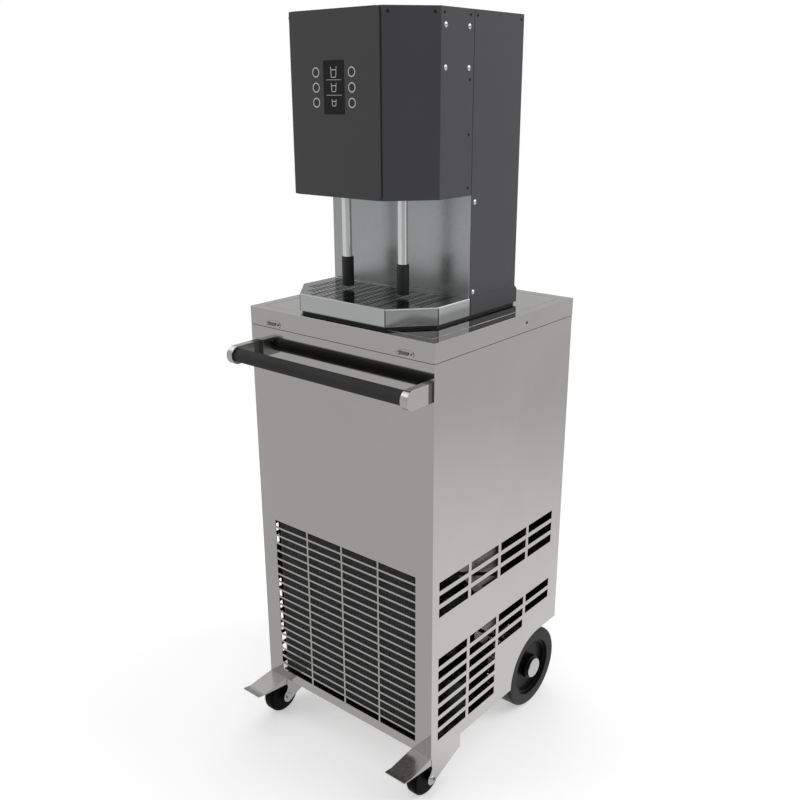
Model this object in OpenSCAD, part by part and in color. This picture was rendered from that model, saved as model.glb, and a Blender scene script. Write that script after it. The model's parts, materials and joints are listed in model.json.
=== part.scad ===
// Wheeled draft beer dispenser: a stainless cooling cabinet that carries a
// dispensing tower with two fill tubes that rise and fall.
// Millimetres. Floor at z = 0, front towards -Y, +X to the right seen from the front.

/* [Cabinet] */
// Width over the side panels
cab_w = 450; // [420:1:500]
// Depth over the front and rear panels
cab_d = 450; // [430:1:500]
// Height of the panels below the lid
body_h = 789; // [760:1:850]
// Height of the lid's skirt
lid_h = 36; // [30:1:50]
// Thickness of the stainless sheet
sheet_t = 1.5; // [1.2:0.1:2]
// Height of the floor pan above the panels' bottom edge
pan_rise = 14; // [12:1:18]
// Distance of the pressed line on the lid from its edges
lid_line_inset = 21; // [15:1:30]
// Width of the pressed line
lid_line_w = 1.6; // [1:0.1:3]
// Depth of the pressed line
lid_line_depth = 0.6; // [0.3:0.1:0.8]
// Height of the seam groove round the lid's lower edge
lid_seam_h = 0.9; // [0.5:0.1:1.5]
// Depth of the seam groove
lid_seam_depth = 0.8; // [0.4:0.1:1]
// Length and width of the line passage in the lid
lid_passage = [120, 60]; // [40:1:140]

/* [Front grille] */
// Columns of slots in the front panel
grille_cols = 4; // [2:1:4]
// Rows of slots in the front panel
grille_rows = 20; // [8:1:20]
// Distance of the grille from the cabinet's sides
grille_margin = 39.4; // [30:0.1:60]
// Height of one front slot
grille_slot_h = 14.2; // [8:0.1:15]
// Width of the upright bars between the columns
grille_bar = 4; // [3:0.5:10]
// Distance from row to row
grille_pitch = 18.15; // [16:0.05:18.5]
// Height of the grille's top above the panel's bottom edge
grille_top = 380; // [370:1:420]

/* [Side vents] */
// Height of one side slot
vent_slot_h = 18; // [10:0.5:20]
// Width of the bars between the columns of side slots
vent_bar = 9; // [5:0.5:15]
// Distance from row to row
vent_row_pitch = 27.5; // [24:0.1:28]
// Distance of the first column from the front
vent_start = 20; // [15:1:30]
// Distance of the last column from the back
vent_end = 39; // [30:0.1:70]
// Height of the upper group's top above the bottom edge
vent_upper_top = 374; // [360:1:400]
// Height of the lower group's top above the bottom edge
vent_lower_top = 213; // [205:1:240]
// Rows in the upper group
vent_upper_rows = 3; // [1:1:4]

/* [Rear wheels] */
// Diameter of a rear wheel
rear_wheel_d = 180; // [160:1:200]
// Width of a rear wheel
rear_wheel_w = 40; // [30:1:45]
// Distance of the rear axle from the cabinet's back
rear_axle_inset = 73; // [60:1:90]
// Distance of a rear wheel's outer face inside the side panel
rear_wheel_inset = 10; // [8:1:14]
// Gap between a rear wheel and the arch above it
wheel_well_gap = 10.5; // [8:0.5:14]
// Diameter of the rear axle
axle_d = 16; // [12:1:20]
// Radial width of the tyre's side
tyre_side = 26; // [18:1:30]
// Depth of the recess inside the tyre's side
wheel_dish = 11; // [6:1:13]
// Diameter of the hub boss
hub_d = 60; // [50:1:70]
// Diameter of the bright axle cap
axle_cap_d = 44; // [36:1:48]
// Thickness of the axle cap
axle_cap_t = 6; // [4:0.5:8]

/* [Front wheels] */
// Diameter of a front wheel
front_wheel_d = 82; // [75:1:90]
// Width of a front wheel's tread
front_wheel_w = 26; // [16:1:30]
// Distance of the front axle behind the cabinet's front
front_axle_inset = 5.5; // [3:0.5:12]
// Diameter of the front axle bolts
front_bolt_d = 8; // [6:1:10]
// Diameter of the bolt heads
front_bolt_head_d = 15; // [12:1:17]
// Height of the bolt heads
front_bolt_head_h = 4; // [2:0.5:6]
// Radius of the cheek's rounded end round the axle
cheek_r = 14; // [12:1:17]
// Length of the cheek along the panel's bottom edge
cheek_len = 95; // [80:1:120]

/* [Step brackets] */
// Width of a step bracket
step_w = 48; // [42:1:60]
// Reach of a step plate in front of the cabinet
step_reach = 80; // [60:1:90]
// Length of the step plate's raised lip
step_lip = 19; // [12:1:25]
// Drop of the step plate towards its lip
step_drop = 6; // [3:0.5:9]
// Rise of the lip
step_lip_rise = 3; // [1:0.5:5]
// Thickness of the bracket's sheet
step_t = 2.5; // [2:0.5:4]

/* [Handle] */
// Distance of the grip's axis below the lid's seam
grip_drop = 49; // [40:0.5:80]
// Distance of the grip's axis in front of the cabinet
grip_reach = 51.5; // [45:0.5:60]
// Diameter of the grip
grip_d = 26.4; // [24:0.1:32]
// Diameter of the steel bar in the grip
grip_bar_d = 16; // [12:1:18]
// Distance of the arms' outer faces inside the cabinet's sides
handle_inset = 3; // [0:0.5:20]
// Thickness of one arm
arm_t = 15; // [8:1:18]
// Height of one arm, with a full round front
arm_h = 35.2; // [30:0.1:44]
// Thickness of the dark spacer between an arm and the cabinet
arm_spacer_t = 11; // [4:0.5:14]

/* [Lid latches] */
// Length and height of a latch plate
latch_plate = [38, 13]; // [10:1:45]
// Thickness of a latch plate
latch_plate_t = 1; // [0.8:0.1:1.5]
// Distance of a latch from the cabinet's side
latch_inset = 62.7; // [45:0.1:85]
// Height of a latch above the lid's lower edge
latch_rise = 9; // [8:0.5:12]
// Distance of the latch's two pins
latch_pins = 25; // [22:0.5:28]
// Diameter of the latch pins
latch_pin_d = 4; // [3:0.5:5]
// Height of the latch lever
lever_h = 5; // [4:0.5:7]
// Thickness of the latch lever
lever_t = 2; // [1.5:0.1:3]

/* [Tower] */
// Width of the tower
tower_w = 331; // [310:1:345]
// Distance of the tower's front behind the cabinet's front
tower_setback = 16.2; // [8:0.1:24]
// Depth of the tower from its front to the column's back
tower_d = 310; // [290:1:330]
// Width of the flat front face between the slanted corners
nose_w = 208; // [190:1:220]
// Depth of the slanted corners
chamfer_d = 70.8; // [60:0.1:80]
// Height of the black plinth under the tower
plinth_h = 5; // [3:0.5:8]
// Distance of the plinth's edge inside the tower's outline
plinth_inset = 4; // [3:0.5:10]
// Height of the tower's foot
base_h = 33; // [26:1:40]
// Depth of the serving bay in front of the column
bay_d = 159.3; // [140:0.1:170]
// Height of the serving bay
bay_h = 181; // [170:1:230]
// Height of the head above the bay
head_h = 299; // [270:1:320]
// Step of the foot behind the column
foot_step = 8; // [5:0.5:14]
// Drop of the foot's sloped rear edge behind the column
foot_slope = 7; // [2:0.5:10]
// Wall of the tower's foot
foot_wall = 3; // [2:0.5:4]
// Thickness of the front plate
plate_t = 1.5; // [1.2:0.1:3]
// Distance of the front plate's back in front of the head
plate_standoff = 1.5; // [1:0.1:3]
// Gap between the front plate's edge and the slanted corners
plate_gap = 3.4; // [2:0.1:8]
// Radius of the front plate's corners
plate_r = 8; // [4:0.5:14]

/* [Drip tray] */
// Gap between the tray and the tower's foot
tray_gap = 2; // [1:0.1:3]
// Distance of the tray's rim below the foot's top
tray_drop = 1.3; // [1:0.1:3]
// Width of the rim at the tray's back
tray_back_rim = 5.5; // [4:0.5:8]
// Width of the ledge that carries the grate
grate_ledge = 4; // [3:0.5:6]
// Height of the ledge
ledge_h = 3; // [2:0.5:5]
// Thickness of the grate
grate_t = 2; // [1.5:0.5:3]
// Gap round the grate
grate_gap = 0.5; // [0.3:0.1:1]
// Length of a grate slot
grate_slot_l = 19; // [14:1:24]
// Width of a grate slot
grate_slot_w = 4; // [3:0.5:5]
// Distance between slots along the tray
grate_pitch_x = 26; // [24:1:30]
// Distance between rows of slots
grate_pitch_y = 9.5; // [8:0.5:14]

/* [Fill tubes] */
// Distance of a fill tube from the middle
tube_x = 67.3; // [60:0.1:80]
// Distance of the fill tubes behind the tower's front
tube_setback = 93; // [86:1:100]
// Outer diameter of a fill tube
tube_d = 18; // [14:1:20]
// Wall of a fill tube
tube_wall = 1; // [0.8:0.1:1.5]
// Diameter of a nozzle
nozzle_d = 22.6; // [21:0.1:26]
// Height of a nozzle
nozzle_h = 55; // [40:1:70]
// Gap between a lowered nozzle and the grate
nozzle_gap = 5; // [4:0.5:8]
// Distance of the lead screw behind its tube
screw_setback = 40; // [34:1:42]
// Diameter of a lead screw
screw_d = 8; // [6:1:10]
// Height of a carriage
carriage_h = 30; // [24:1:36]
// Height of the lowered carriage above the head's floor
carriage_rise = 61; // [40:1:80]
// Side of a lift motor's square body
motor_side = 36; // [28:1:40]
// Height of a lift motor
motor_h = 42; // [34:1:44]

/* [Controls] */
// Distance of the button columns from the middle
button_x = 40.6; // [36:0.1:44]
// Height of the middle buttons above the head's floor
button_z = 178.3; // [150:0.1:190]
// Distance between the buttons of a column
button_pitch = 24; // [20:0.5:26]
// Diameter of a button
button_d = 11.8; // [10:0.1:13]
// Travel of a button
button_travel = 1.5; // [1:0.1:2]
// Outer diameter of a button's ring
ring_d = 16; // [15:0.1:18]
// Height of a ring on the front plate
ring_t = 0.6; // [0.4:0.1:1]
// Width and height of the size label
label_size = [47, 85]; // [30:1:90]
// Thickness of the label
label_t = 0.4; // [0.3:0.1:0.8]

/* [Cooling] */
// Thickness of the condenser
condenser_t = 30; // [20:1:35]
// Distance of the condenser behind the front panel's outer face
condenser_inset = 12; // [8:1:16]
// Distance of the condenser from the cabinet's sides
condenser_margin = 41; // [36:1:65]
// Diameter of the fan
fan_d = 236; // [200:1:260]
// Diameter of the compressor
compressor_d = 136; // [110:1:150]
// Height of the compressor's shell
compressor_h = 160; // [120:1:200]
// Width, depth and height of the cold block
block_size = [260, 120, 280]; // [100:1:300]
// Height of the cold block above the panels' bottom edge
block_rise = 430; // [400:1:480]
// Outer diameter of the cooling pipes
pipe_d = 8; // [6:1:10]
// Diameter of the connection stems, three eighths of an inch
stem_d = 9.525; // [6.35:0.001:12.7]
// Free length of a connection stem
stem_len = 25; // [18:1:30]

/* [Hidden] */

$fn = 64;

// Shared clearances: overrun of cuts, running fit on a radius, gap between parts that pass,
// open seam between painted parts
over = 1;
fit = 0.05;
loose = 0.3;
seam = 0.8;

// Levels above the floor
deck_z = rear_wheel_d / 2;
seam_z = deck_z + body_h;
lid_z = seam_z + lid_h;
pan_z = deck_z + pan_rise;
foot_z = lid_z + plinth_h;
bay_z = foot_z + base_h;
head_z = bay_z + bay_h;
top_z = head_z + head_h;

// Planes of the cabinet, with the cabinet's middle at x = y = 0
front_y = -cab_d / 2;
back_y = cab_d / 2;
side_x = cab_w / 2;

// Planes of the tower
tower_y = front_y + tower_setback;
tower_x = tower_w / 2;
nose_x = nose_w / 2;
splash_y = tower_y + bay_d;
column_y = splash_y + sheet_t;
column_back_y = tower_y + tower_d;
foot_front_y = column_y + foot_wall + tray_gap;
foot_back_y = column_back_y + foot_step;
tray_back_y = foot_front_y - tray_gap;
tray_h = base_h - tray_drop;
wall_y = column_y + seam;
inner_x = tower_x - sheet_t;
flange_l = 18;
grate_z = foot_z + tray_h - grate_t;

// The whole part stands with the middle of its length at y = 0
stem_collar_t = 6;
front_tip_y = front_y - step_reach;
rear_tip_y = back_y + stem_collar_t + stem_len;
frame_y = -(front_tip_y + rear_tip_y) / 2;

// Wheels and axles
rear_axle_y = back_y - rear_axle_inset;
rear_wheel_x = side_x - rear_wheel_inset;
well_r = rear_wheel_d / 2 + wheel_well_gap;
well_x = rear_wheel_x - rear_wheel_w - wheel_well_gap;
axle_lug_r = axle_d;
front_axle_y = front_y + front_axle_inset;
front_axle_z = front_wheel_d / 2;
cheek_drop = deck_z - front_axle_z;
fork_x = side_x - step_w;
fork_gap = step_w - sheet_t - step_t;
front_wheel_x = fork_x + step_t + fork_gap / 2;

// Outline of a cheek, as shares of its length back from the front and of its drop
cheek_shares = [[0.99, 0], [0.99, 0.6], [0.37, 1.04]];
cheek_throat_shares = [[0.005, 0.70], [0.042, 0.51], [0, 0.33]];
// Points where the cheek's edges meet its round end, as shares of the end's radius
cheek_end_shares = [[0.64, -0.77], [-0.71, 0.71]];

// Side vents: rows in each column of the lower group, from the front
vent_lower_rows = [7, 7, 3, 2];
vent_cols = len(vent_lower_rows);
vent_slot_w = (cab_d - vent_start - vent_end - (vent_cols - 1) * vent_bar) / vent_cols;
vent_col_pitch = vent_slot_w + vent_bar;

// Handle
grip_y = front_y - grip_reach;
grip_z = seam_z - grip_drop;
handle_w = cab_w - 2 * handle_inset;
grip_l = handle_w - 2 * arm_t;

// Latches
latch_x = side_x - latch_inset;
latch_z = seam_z + latch_rise;

// Fill tubes, carriages and screws
tube_y = tower_y + tube_setback;
tube_r = tube_d / 2;
nozzle_z = bay_z + nozzle_gap;
tube_z = nozzle_z + nozzle_h;
carriage_z = head_z + carriage_rise;
carriage_wall = 5;
tube_l = carriage_z + carriage_h - tube_z;
screw_y = tube_y + screw_setback;
nozzle_hole_r = nozzle_d / 2 + carriage_wall / 3;
roof_z = top_z - sheet_t;
motor_z = roof_z - motor_h;
feed_r = tube_r - tube_wall - loose;
feed_engage = 50;
manifold_h = 30;
manifold_z = roof_z - manifold_h;
manifold_margin = 12;
line_r = stem_d / 2;
line_x = 30;
line_y = 40;

// Front plate and buttons
plate_back_y = tower_y - plate_standoff;
plate_y = plate_back_y - plate_t;
plate_w = nose_w - 2 * plate_gap;
middle_z = head_z + button_z;
button_rise = [button_pitch, 0, -button_pitch];
button_gap = 0.35;
flange_t = 1;
flange_over = 1.2;
button_reach = 8.4;
switch_h = 4;
board_t = 1.6;
board_y = plate_y - ring_t + button_reach + button_travel + loose + switch_h;
board_size = [112, 92];
board_margin = 6;
window_margin = 5;

// Screws on the tower: distance from edges, head sizes
screw_edge = 9;
dark_screw_r = 3.2;
bright_screw_r = 4.8;
shank_r = 2;
shank_l = 5;
socket_share = 0.42;
head_row = 88;
emblem_side = 64;
emblem_top = 27;

// Cooling
condenser_y = front_y + condenser_inset;
condenser_w = cab_w - 2 * condenser_margin;
condenser_x = condenser_w / 2;
condenser_foot = 10;
condenser_over = 6;
condenser_top_z = deck_z + grille_top + condenser_over;
shroud_gap = 10;
shroud_y = condenser_y + condenser_t + shroud_gap;
shroud_collar = 40;
fan_tip_gap = 6;
shroud_r = fan_d / 2 + fan_tip_gap;
fan_z = (pan_z + condenser_top_z) / 2;
fan_hub_r = 25;
fan_hub_h = 22;
fan_y = shroud_y + shroud_collar / 2;
fan_blades = 5;
blade_t = 1.5;
blade_tilt = 28;
fan_motor_r = 38;
fan_motor_l = 60;
fan_motor_y = fan_y + fan_hub_h / 2 + shroud_gap;
fan_shaft_r = 4;
post_w = 44;
post_t = 5;
rubber_foot_h = 12;
rubber_foot_r = 12;
compressor_at = [40, 60];
compressor_plate = [170, 120];
compressor_z = pan_z + sheet_t + rubber_foot_h;
block_z = deck_z + block_rise;
block_y = back_y - sheet_t - block_size[1];
pipe_r = pipe_d / 2;
elbow_share = 1.15;
stem_z = deck_z + block_rise - 110;
stem_r = stem_d / 2;
stem_nut_r = stem_d;

// Power inlet
inlet_x = -110;
inlet_z = stem_z;
inlet_flange = [50, 28];
inlet_body = [29, 21];
inlet_cavity = [24.4, 16.4];
inlet_flange_t = 3;
inlet_depth = 24;
inlet_cavity_depth = 17;
inlet_pin = [2, 4.4];
inlet_pin_l = 14;
inlet_pin_x = 7;
inlet_pin_z = 4;

// Colours, as the finish shows them
steel = [0.66, 0.66, 0.64];
bright = [0.80, 0.80, 0.79];
charcoal = [0.27, 0.27, 0.28];
dark = [0.12, 0.12, 0.13];
rubber = [0.16, 0.17, 0.17];
alu = [0.72, 0.73, 0.75];
copper = [0.72, 0.45, 0.32];
green = [0.10, 0.30, 0.18];

// Moves a piece from the cabinet's own middle to the part's frame
module place() {
  translate([0, frame_y, 0]) children();
}

// Repeats a piece on both sides, as a mirror image
module both_sides() {
  children();
  mirror([1, 0, 0]) children();
}

// Lays a flat outline, drawn as (x, z), upright with its back at y = 0
module upright(t) {
  rotate([90, 0, 0]) linear_extrude(t) children();
}

// Turns a flat outline, drawn as (y, z), into a sheet whose inner face is at x = 0
module sideways(t) {
  rotate([90, 0, 90]) linear_extrude(t) children();
}

// Rod along Y from y = 0 backwards
module rod_y(r, l) {
  rotate([-90, 0, 0]) cylinder(r = r, h = l);
}

// Rod along X from x = 0 to the right
module rod_x(r, l) {
  rotate([0, 90, 0]) cylinder(r = r, h = l);
}

// Flat plate with rounded ends, centred, drawn as (x, z)
module obround(size) {
  span = (size[0] - size[1]) / 2;
  square([2 * span, size[1]], center = true);
  for (s = [-1, 1]) translate([s * span, 0]) circle(d = size[1]);
}

// Rectangle with rounded corners, centred
module rounded(size, r) {
  square([size[0], size[1] - 2 * r], center = true);
  square([size[0] - 2 * r, size[1]], center = true);
  for (sx = [-1, 1], sz = [-1, 1]) {
    translate([sx * (size[0] / 2 - r), sz * (size[1] / 2 - r)]) circle(r);
  }
}

// Rows and columns of slots, from the top left corner downwards
module slot_grid(cols, rows, size, pitch) {
  for (c = [0 : cols - 1], r = [0 : rows - 1]) {
    translate([c * pitch[0], -r * pitch[1] - size[1]]) square(size);
  }
}

// Pipe along a chain of points, with round elbows
module pipe_run(points, r) {
  for (i = [0 : len(points) - 2]) {
    d = points[i + 1] - points[i];
    translate(points[i]) {
      rotate([0, acos(d[2] / norm(d)), atan2(d[1], d[0])]) cylinder(r = r, h = norm(d));
    }
  }
  for (i = [1 : len(points) - 2]) translate(points[i]) sphere(elbow_share * r);
}

// Plan of the tower, set in by an even distance, from its front to a given back line
chamfer_angle = atan2(chamfer_d, tower_x - nose_x);
function tower_plan(inset, back) = let (
    nose = nose_x - inset * tan(chamfer_angle / 2),
    corner_y = tower_y + chamfer_d + inset * tan((90 - chamfer_angle) / 2),
    side = tower_x - inset)
  [[-side, back], [-side, corner_y], [-nose, tower_y + inset],
   [nose, tower_y + inset], [side, corner_y], [side, back]];

// Front panel with its grille
module front_panel() {
  slot_w = (cab_w - 2 * grille_margin - (grille_cols - 1) * grille_bar) / grille_cols;
  color(steel) place() translate([0, front_y + sheet_t, deck_z]) upright(sheet_t) difference() {
    translate([-side_x, 0]) square([cab_w, body_h]);
    translate([grille_margin - side_x, grille_top]) {
      slot_grid(grille_cols, grille_rows, [slot_w, grille_slot_h],
        [slot_w + grille_bar, grille_pitch]);
    }
  }
}

// Outline of a front cheek with its round end, drawn as (y, z) from the panel's bottom edge
module cheek_outline(top) {
  start_y = front_y + sheet_t;
  axle = [front_axle_y, -cheek_drop];
  function at(s) = [front_y + s[0] * cheek_len, -s[1] * cheek_drop];
  back = [for (s = cheek_shares) at(s)];
  throat = [for (s = cheek_throat_shares) at(s)];
  ends = [for (s = cheek_end_shares) axle + s * cheek_r];
  polygon(concat([[back[0][0], top]], back, [ends[0], axle, ends[1]],
    [throat[0], throat[1]], [[start_y, throat[2][1]], [start_y, top]]));
  translate(axle) circle(cheek_r);
}

// Side panel: vents, wheel arch and the cheek of the front wheel
module side_sheet() {
  sideways(sheet_t) difference() {
    union() {
      translate([front_y + sheet_t, 0]) square([cab_d - 2 * sheet_t, body_h]);
      cheek_outline(over);
    }
    translate([rear_axle_y, 0]) circle(well_r, $fn = 128);
    translate([rear_axle_y, -over]) square([rear_axle_inset + over, well_r + over]);
    translate([front_axle_y, -cheek_drop]) circle(front_bolt_d / 2);
    translate([front_y + vent_start, vent_upper_top]) {
      slot_grid(vent_cols, vent_upper_rows, [vent_slot_w, vent_slot_h],
        [vent_col_pitch, vent_row_pitch]);
    }
    for (c = [0 : vent_cols - 1]) {
      translate([front_y + vent_start + c * vent_col_pitch, vent_lower_top]) {
        slot_grid(1, vent_lower_rows[c], [vent_slot_w, vent_slot_h],
          [vent_col_pitch, vent_row_pitch]);
      }
    }
  }
}

module right_side_panel() {
  color(steel) place() translate([side_x - sheet_t, 0, deck_z]) side_sheet();
}

module left_side_panel() {
  color(steel) place() mirror([1, 0, 0]) translate([side_x - sheet_t, 0, deck_z]) side_sheet();
}

// Rear panel with holes for the stems and the power inlet
module rear_panel() {
  color(steel) place() translate([0, back_y, deck_z]) upright(sheet_t) difference() {
    union() {
      translate([sheet_t - side_x, well_r]) square([cab_w - 2 * sheet_t, body_h - well_r]);
      translate([-well_x, 0]) square([2 * well_x, well_r]);
    }
    for (s = [-1, 1]) translate([s * line_x, stem_z - deck_z]) circle(stem_r + loose);
    translate([inlet_x, inlet_z - deck_z]) square(inlet_body, center = true);
  }
}

// Floor pan, notched for the wheel arches
module base_pan() {
  pan_x = side_x - sheet_t;
  pan_y = cab_d / 2 - sheet_t;
  notch_y = rear_axle_y - well_r - 2 * sheet_t;
  color(steel) place() translate([0, 0, pan_z]) linear_extrude(sheet_t) {
    polygon([[-pan_x, -pan_y], [pan_x, -pan_y], [pan_x, notch_y], [well_x, notch_y],
      [well_x, pan_y], [-well_x, pan_y], [-well_x, notch_y], [-pan_x, notch_y]]);
  }
}

// Wheel arch: rolled cover over the wheel and an inner wall with the axle's lug
module wheel_arch() {
  cover_w = side_x - sheet_t - well_x - sheet_t;
  end_y = back_y - sheet_t;
  translate([well_x + sheet_t, 0, deck_z]) sideways(cover_w) difference() {
    union() {
      translate([rear_axle_y, 0]) circle(well_r + sheet_t, $fn = 128);
      translate([rear_axle_y, 0]) square([end_y - rear_axle_y, well_r + sheet_t]);
    }
    translate([rear_axle_y, 0]) circle(well_r, $fn = 128);
    translate([rear_axle_y, -well_r]) square([2 * well_r, 2 * well_r]);
    translate([rear_axle_y - 2 * well_r, -2 * well_r]) square([4 * well_r, 2 * well_r]);
  }
  translate([well_x, 0, deck_z]) sideways(sheet_t) difference() {
    union() {
      translate([rear_axle_y - well_r - sheet_t, pan_rise + sheet_t]) {
        square([end_y - rear_axle_y + well_r + sheet_t, well_r - pan_rise]);
      }
      translate([rear_axle_y - axle_lug_r, 0]) square([2 * axle_lug_r, 2 * axle_lug_r]);
      translate([rear_axle_y, 0]) circle(axle_lug_r);
    }
    translate([rear_axle_y, 0]) circle(axle_d / 2 + fit);
  }
}

module wheel_arches() {
  color(steel) place() both_sides() wheel_arch();
}

// Step bracket: foot plate with a raised lip, side skirts and the fork's inner cheek
module step_bracket() {
  bend_y = front_tip_y + step_lip;
  tip_z = step_lip_rise - step_drop;
  tail_y = front_y + cheek_len;
  skirt_z = -cheek_throat_shares[2][1] * cheek_drop;
  top = [[tail_y, 0], [front_y, 0], [bend_y, -step_drop], [front_tip_y, tip_z]];
  translate([fork_x, 0, deck_z]) {
    sideways(step_w) {
      polygon(concat(top, [[front_tip_y, tip_z - step_t], [bend_y, -step_drop - step_t],
        [front_y, -step_t], [tail_y, -step_t]]));
    }
    for (x = [0, step_w - step_t]) translate([x, 0, 0]) sideways(step_t) {
      polygon([[front_y, -step_t], [front_y, skirt_z], [bend_y, -step_drop - step_t]]);
    }
    sideways(step_t) difference() {
      cheek_outline(pan_rise);
      translate([front_axle_y, -cheek_drop]) circle(front_bolt_d / 2);
      translate([front_y, 0]) square([2 * sheet_t, 2 * pan_rise]);
    }
  }
}

module step_brackets() {
  color(steel) place() both_sides() difference() {
    step_bracket();
    side_slit();
  }
}

// Room behind the cabinet's front for the side panel's own sheet
module side_slit() {
  translate([side_x - sheet_t, front_y + sheet_t, deck_z - cheek_drop]) {
    cube([2 * sheet_t, cheek_len + over, 2 * cheek_drop]);
  }
}

// Lid: folded sheet with a pressed line, a seam groove and the passage for the lines
module lid() {
  line = [cab_w - 2 * lid_line_inset, cab_d - 2 * lid_line_inset];
  color(steel) place() difference() {
    translate([-side_x, front_y, seam_z]) cube([cab_w, cab_d, lid_h]);
    translate([sheet_t - side_x, front_y + sheet_t, seam_z - over]) {
      cube([cab_w - 2 * sheet_t, cab_d - 2 * sheet_t, lid_h - sheet_t + over]);
    }
    translate([0, 0, lid_z - lid_line_depth]) linear_extrude(over) difference() {
      square([line[0] + lid_line_w, line[1] + lid_line_w], center = true);
      square([line[0] - lid_line_w, line[1] - lid_line_w], center = true);
    }
    translate([0, 0, seam_z - over]) linear_extrude(lid_seam_h + over) difference() {
      square([cab_w + 2 * over, cab_d + 2 * over], center = true);
      square([cab_w - 2 * lid_seam_depth, cab_d - 2 * lid_seam_depth], center = true);
    }
    translate([-lid_passage[0] / 2, line_y - lid_passage[1] / 2, seam_z]) {
      cube([lid_passage[0], lid_passage[1], 2 * lid_h]);
    }
    for (s = [-1, 1]) lid_screw_at(s) screw_shank();
  }
}

// Place of a lid screw on one side, turned so that +Y points into the skirt
module lid_screw_at(s) {
  translate([s * side_x, column_y + tower_d / 3, seam_z + lid_h / 2]) {
    rotate([0, 0, s * 90]) children();
  }
}

// Plates and pins of the two lid latches
module latch_plates() {
  color(bright) place() for (s = [-1, 1]) translate([s * latch_x, front_y, latch_z]) {
    upright(latch_plate_t) obround(latch_plate);
    for (p = [-1, 1]) translate([p * latch_pins / 2, -latch_plate_t, 0]) {
      translate([0, -lever_t - 2 * loose, 0]) rod_y(latch_pin_d / 2, lever_t + 2 * loose);
    }
  }
}

// Lever of a lid latch, turning on the latch's left pin
module latch_lever(s) {
  reach = latch_pins - latch_pin_d;
  color(dark) place() translate([s * latch_x - latch_pins / 2, front_y, latch_z]) {
    translate([0, -latch_plate_t - loose, 0]) upright(lever_t) difference() {
      union() {
        circle(lever_h / 2 + latch_pin_d / 4);
        translate([0, -lever_h / 2]) square([reach - lever_h / 2, lever_h]);
        translate([reach - lever_h / 2, 0]) circle(lever_h / 2);
      }
      circle(latch_pin_d / 2 + fit);
    }
  }
}

module left_lid_latch() {
  latch_lever(-1);
}

module right_lid_latch() {
  latch_lever(1);
}

// Handle frame: two arms and the bar between them
module handle_frame() {
  color(steel) place() {
    both_sides() translate([handle_w / 2 - arm_t, grip_y, grip_z]) sideways(arm_t) {
      translate([0, -arm_h / 2]) square([grip_reach - arm_spacer_t, arm_h]);
      circle(arm_h / 2);
    }
    translate([-grip_l / 2 - over, grip_y, grip_z]) rod_x(grip_bar_d / 2, grip_l + 2 * over);
  }
}

// Spacers between the arms and the front panel
module handle_spacers() {
  color(dark) place() both_sides() {
    translate([handle_w / 2 - arm_t, front_y - arm_spacer_t, grip_z - arm_h / 2]) {
      cube([arm_t, arm_spacer_t, arm_h]);
    }
  }
}

module handle_grip() {
  color(dark) place() translate([-grip_l / 2, grip_y, grip_z]) difference() {
    rod_x(grip_d / 2, grip_l);
    translate([-over, 0, 0]) rod_x(grip_bar_d / 2 + fit, grip_l + 2 * over);
  }
}

// Rear axle and its bright caps
module rear_axle() {
  axle_l = 2 * (rear_wheel_x + axle_cap_t / 2);
  color(bright) place() translate([-axle_l / 2, rear_axle_y, deck_z]) rod_x(axle_d / 2, axle_l);
}

module axle_caps() {
  color(bright) place() both_sides() translate([rear_wheel_x + loose, rear_axle_y, deck_z]) {
    difference() {
      rotate([0, 90, 0]) rotate_extrude() {
        square([axle_cap_d / 2 - axle_cap_t / 3, axle_cap_t]);
        square([axle_cap_d / 2, axle_cap_t * 2 / 3]);
        translate([axle_cap_d / 2 - axle_cap_t / 3, axle_cap_t * 2 / 3]) circle(axle_cap_t / 3);
      }
      translate([-over, 0, 0]) rod_x(axle_d / 2 + fit, axle_cap_t / 2 + over);
    }
  }
}

// Rear wheel: tread, dished sides, web and hub, turned about its axle
module rear_wheel() {
  r = rear_wheel_d / 2;
  w = rear_wheel_w / 2;
  shoulder = tyre_side / 4;
  inner = r - tyre_side;
  hub = hub_d / 2;
  dish = w - wheel_dish;
  translate([rear_wheel_x - w, rear_axle_y, deck_z]) rotate([0, 90, 0]) {
    rotate_extrude($fn = 96) difference() {
      union() {
        polygon([[axle_d / 2 + fit, -w], [hub, -w], [hub, -dish], [inner, -dish], [inner, -w],
          [r - shoulder, -w], [r, shoulder - w], [r, w - shoulder], [r - shoulder, w],
          [inner, w], [inner, dish], [hub, dish], [hub, w], [axle_d / 2 + fit, w]]);
      }
    }
  }
}

module right_rear_wheel() {
  color(rubber) place() rear_wheel();
}

module left_rear_wheel() {
  color(rubber) place() mirror([1, 0, 0]) rear_wheel();
}

// Shallow dome of a given radius and height, rising along -Y from y = 0
module dome(r, h) {
  dome_r = (r * r + h * h) / (2 * h);
  intersection() {
    translate([0, dome_r - h, 0]) sphere(dome_r);
    translate([-2 * r, -2 * h, -2 * r]) cube([4 * r, 2 * h, 4 * r]);
  }
}

// Front axle bolts: domed head outside, nut inside
module front_axle_bolts() {
  shank_l = step_w + front_bolt_head_h;
  head_r = front_bolt_head_d / 2;
  color(bright) place() both_sides() translate([side_x, front_axle_y, front_axle_z]) {
    translate([-shank_l, 0, 0]) rod_x(front_bolt_d / 2, shank_l + over);
    rotate([0, 0, 90]) dome(head_r, front_bolt_head_h);
    translate([-shank_l, 0, 0]) rotate([0, 90, 0]) {
      cylinder(r = head_r, h = front_bolt_head_h, $fn = 6);
    }
  }
}

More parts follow.
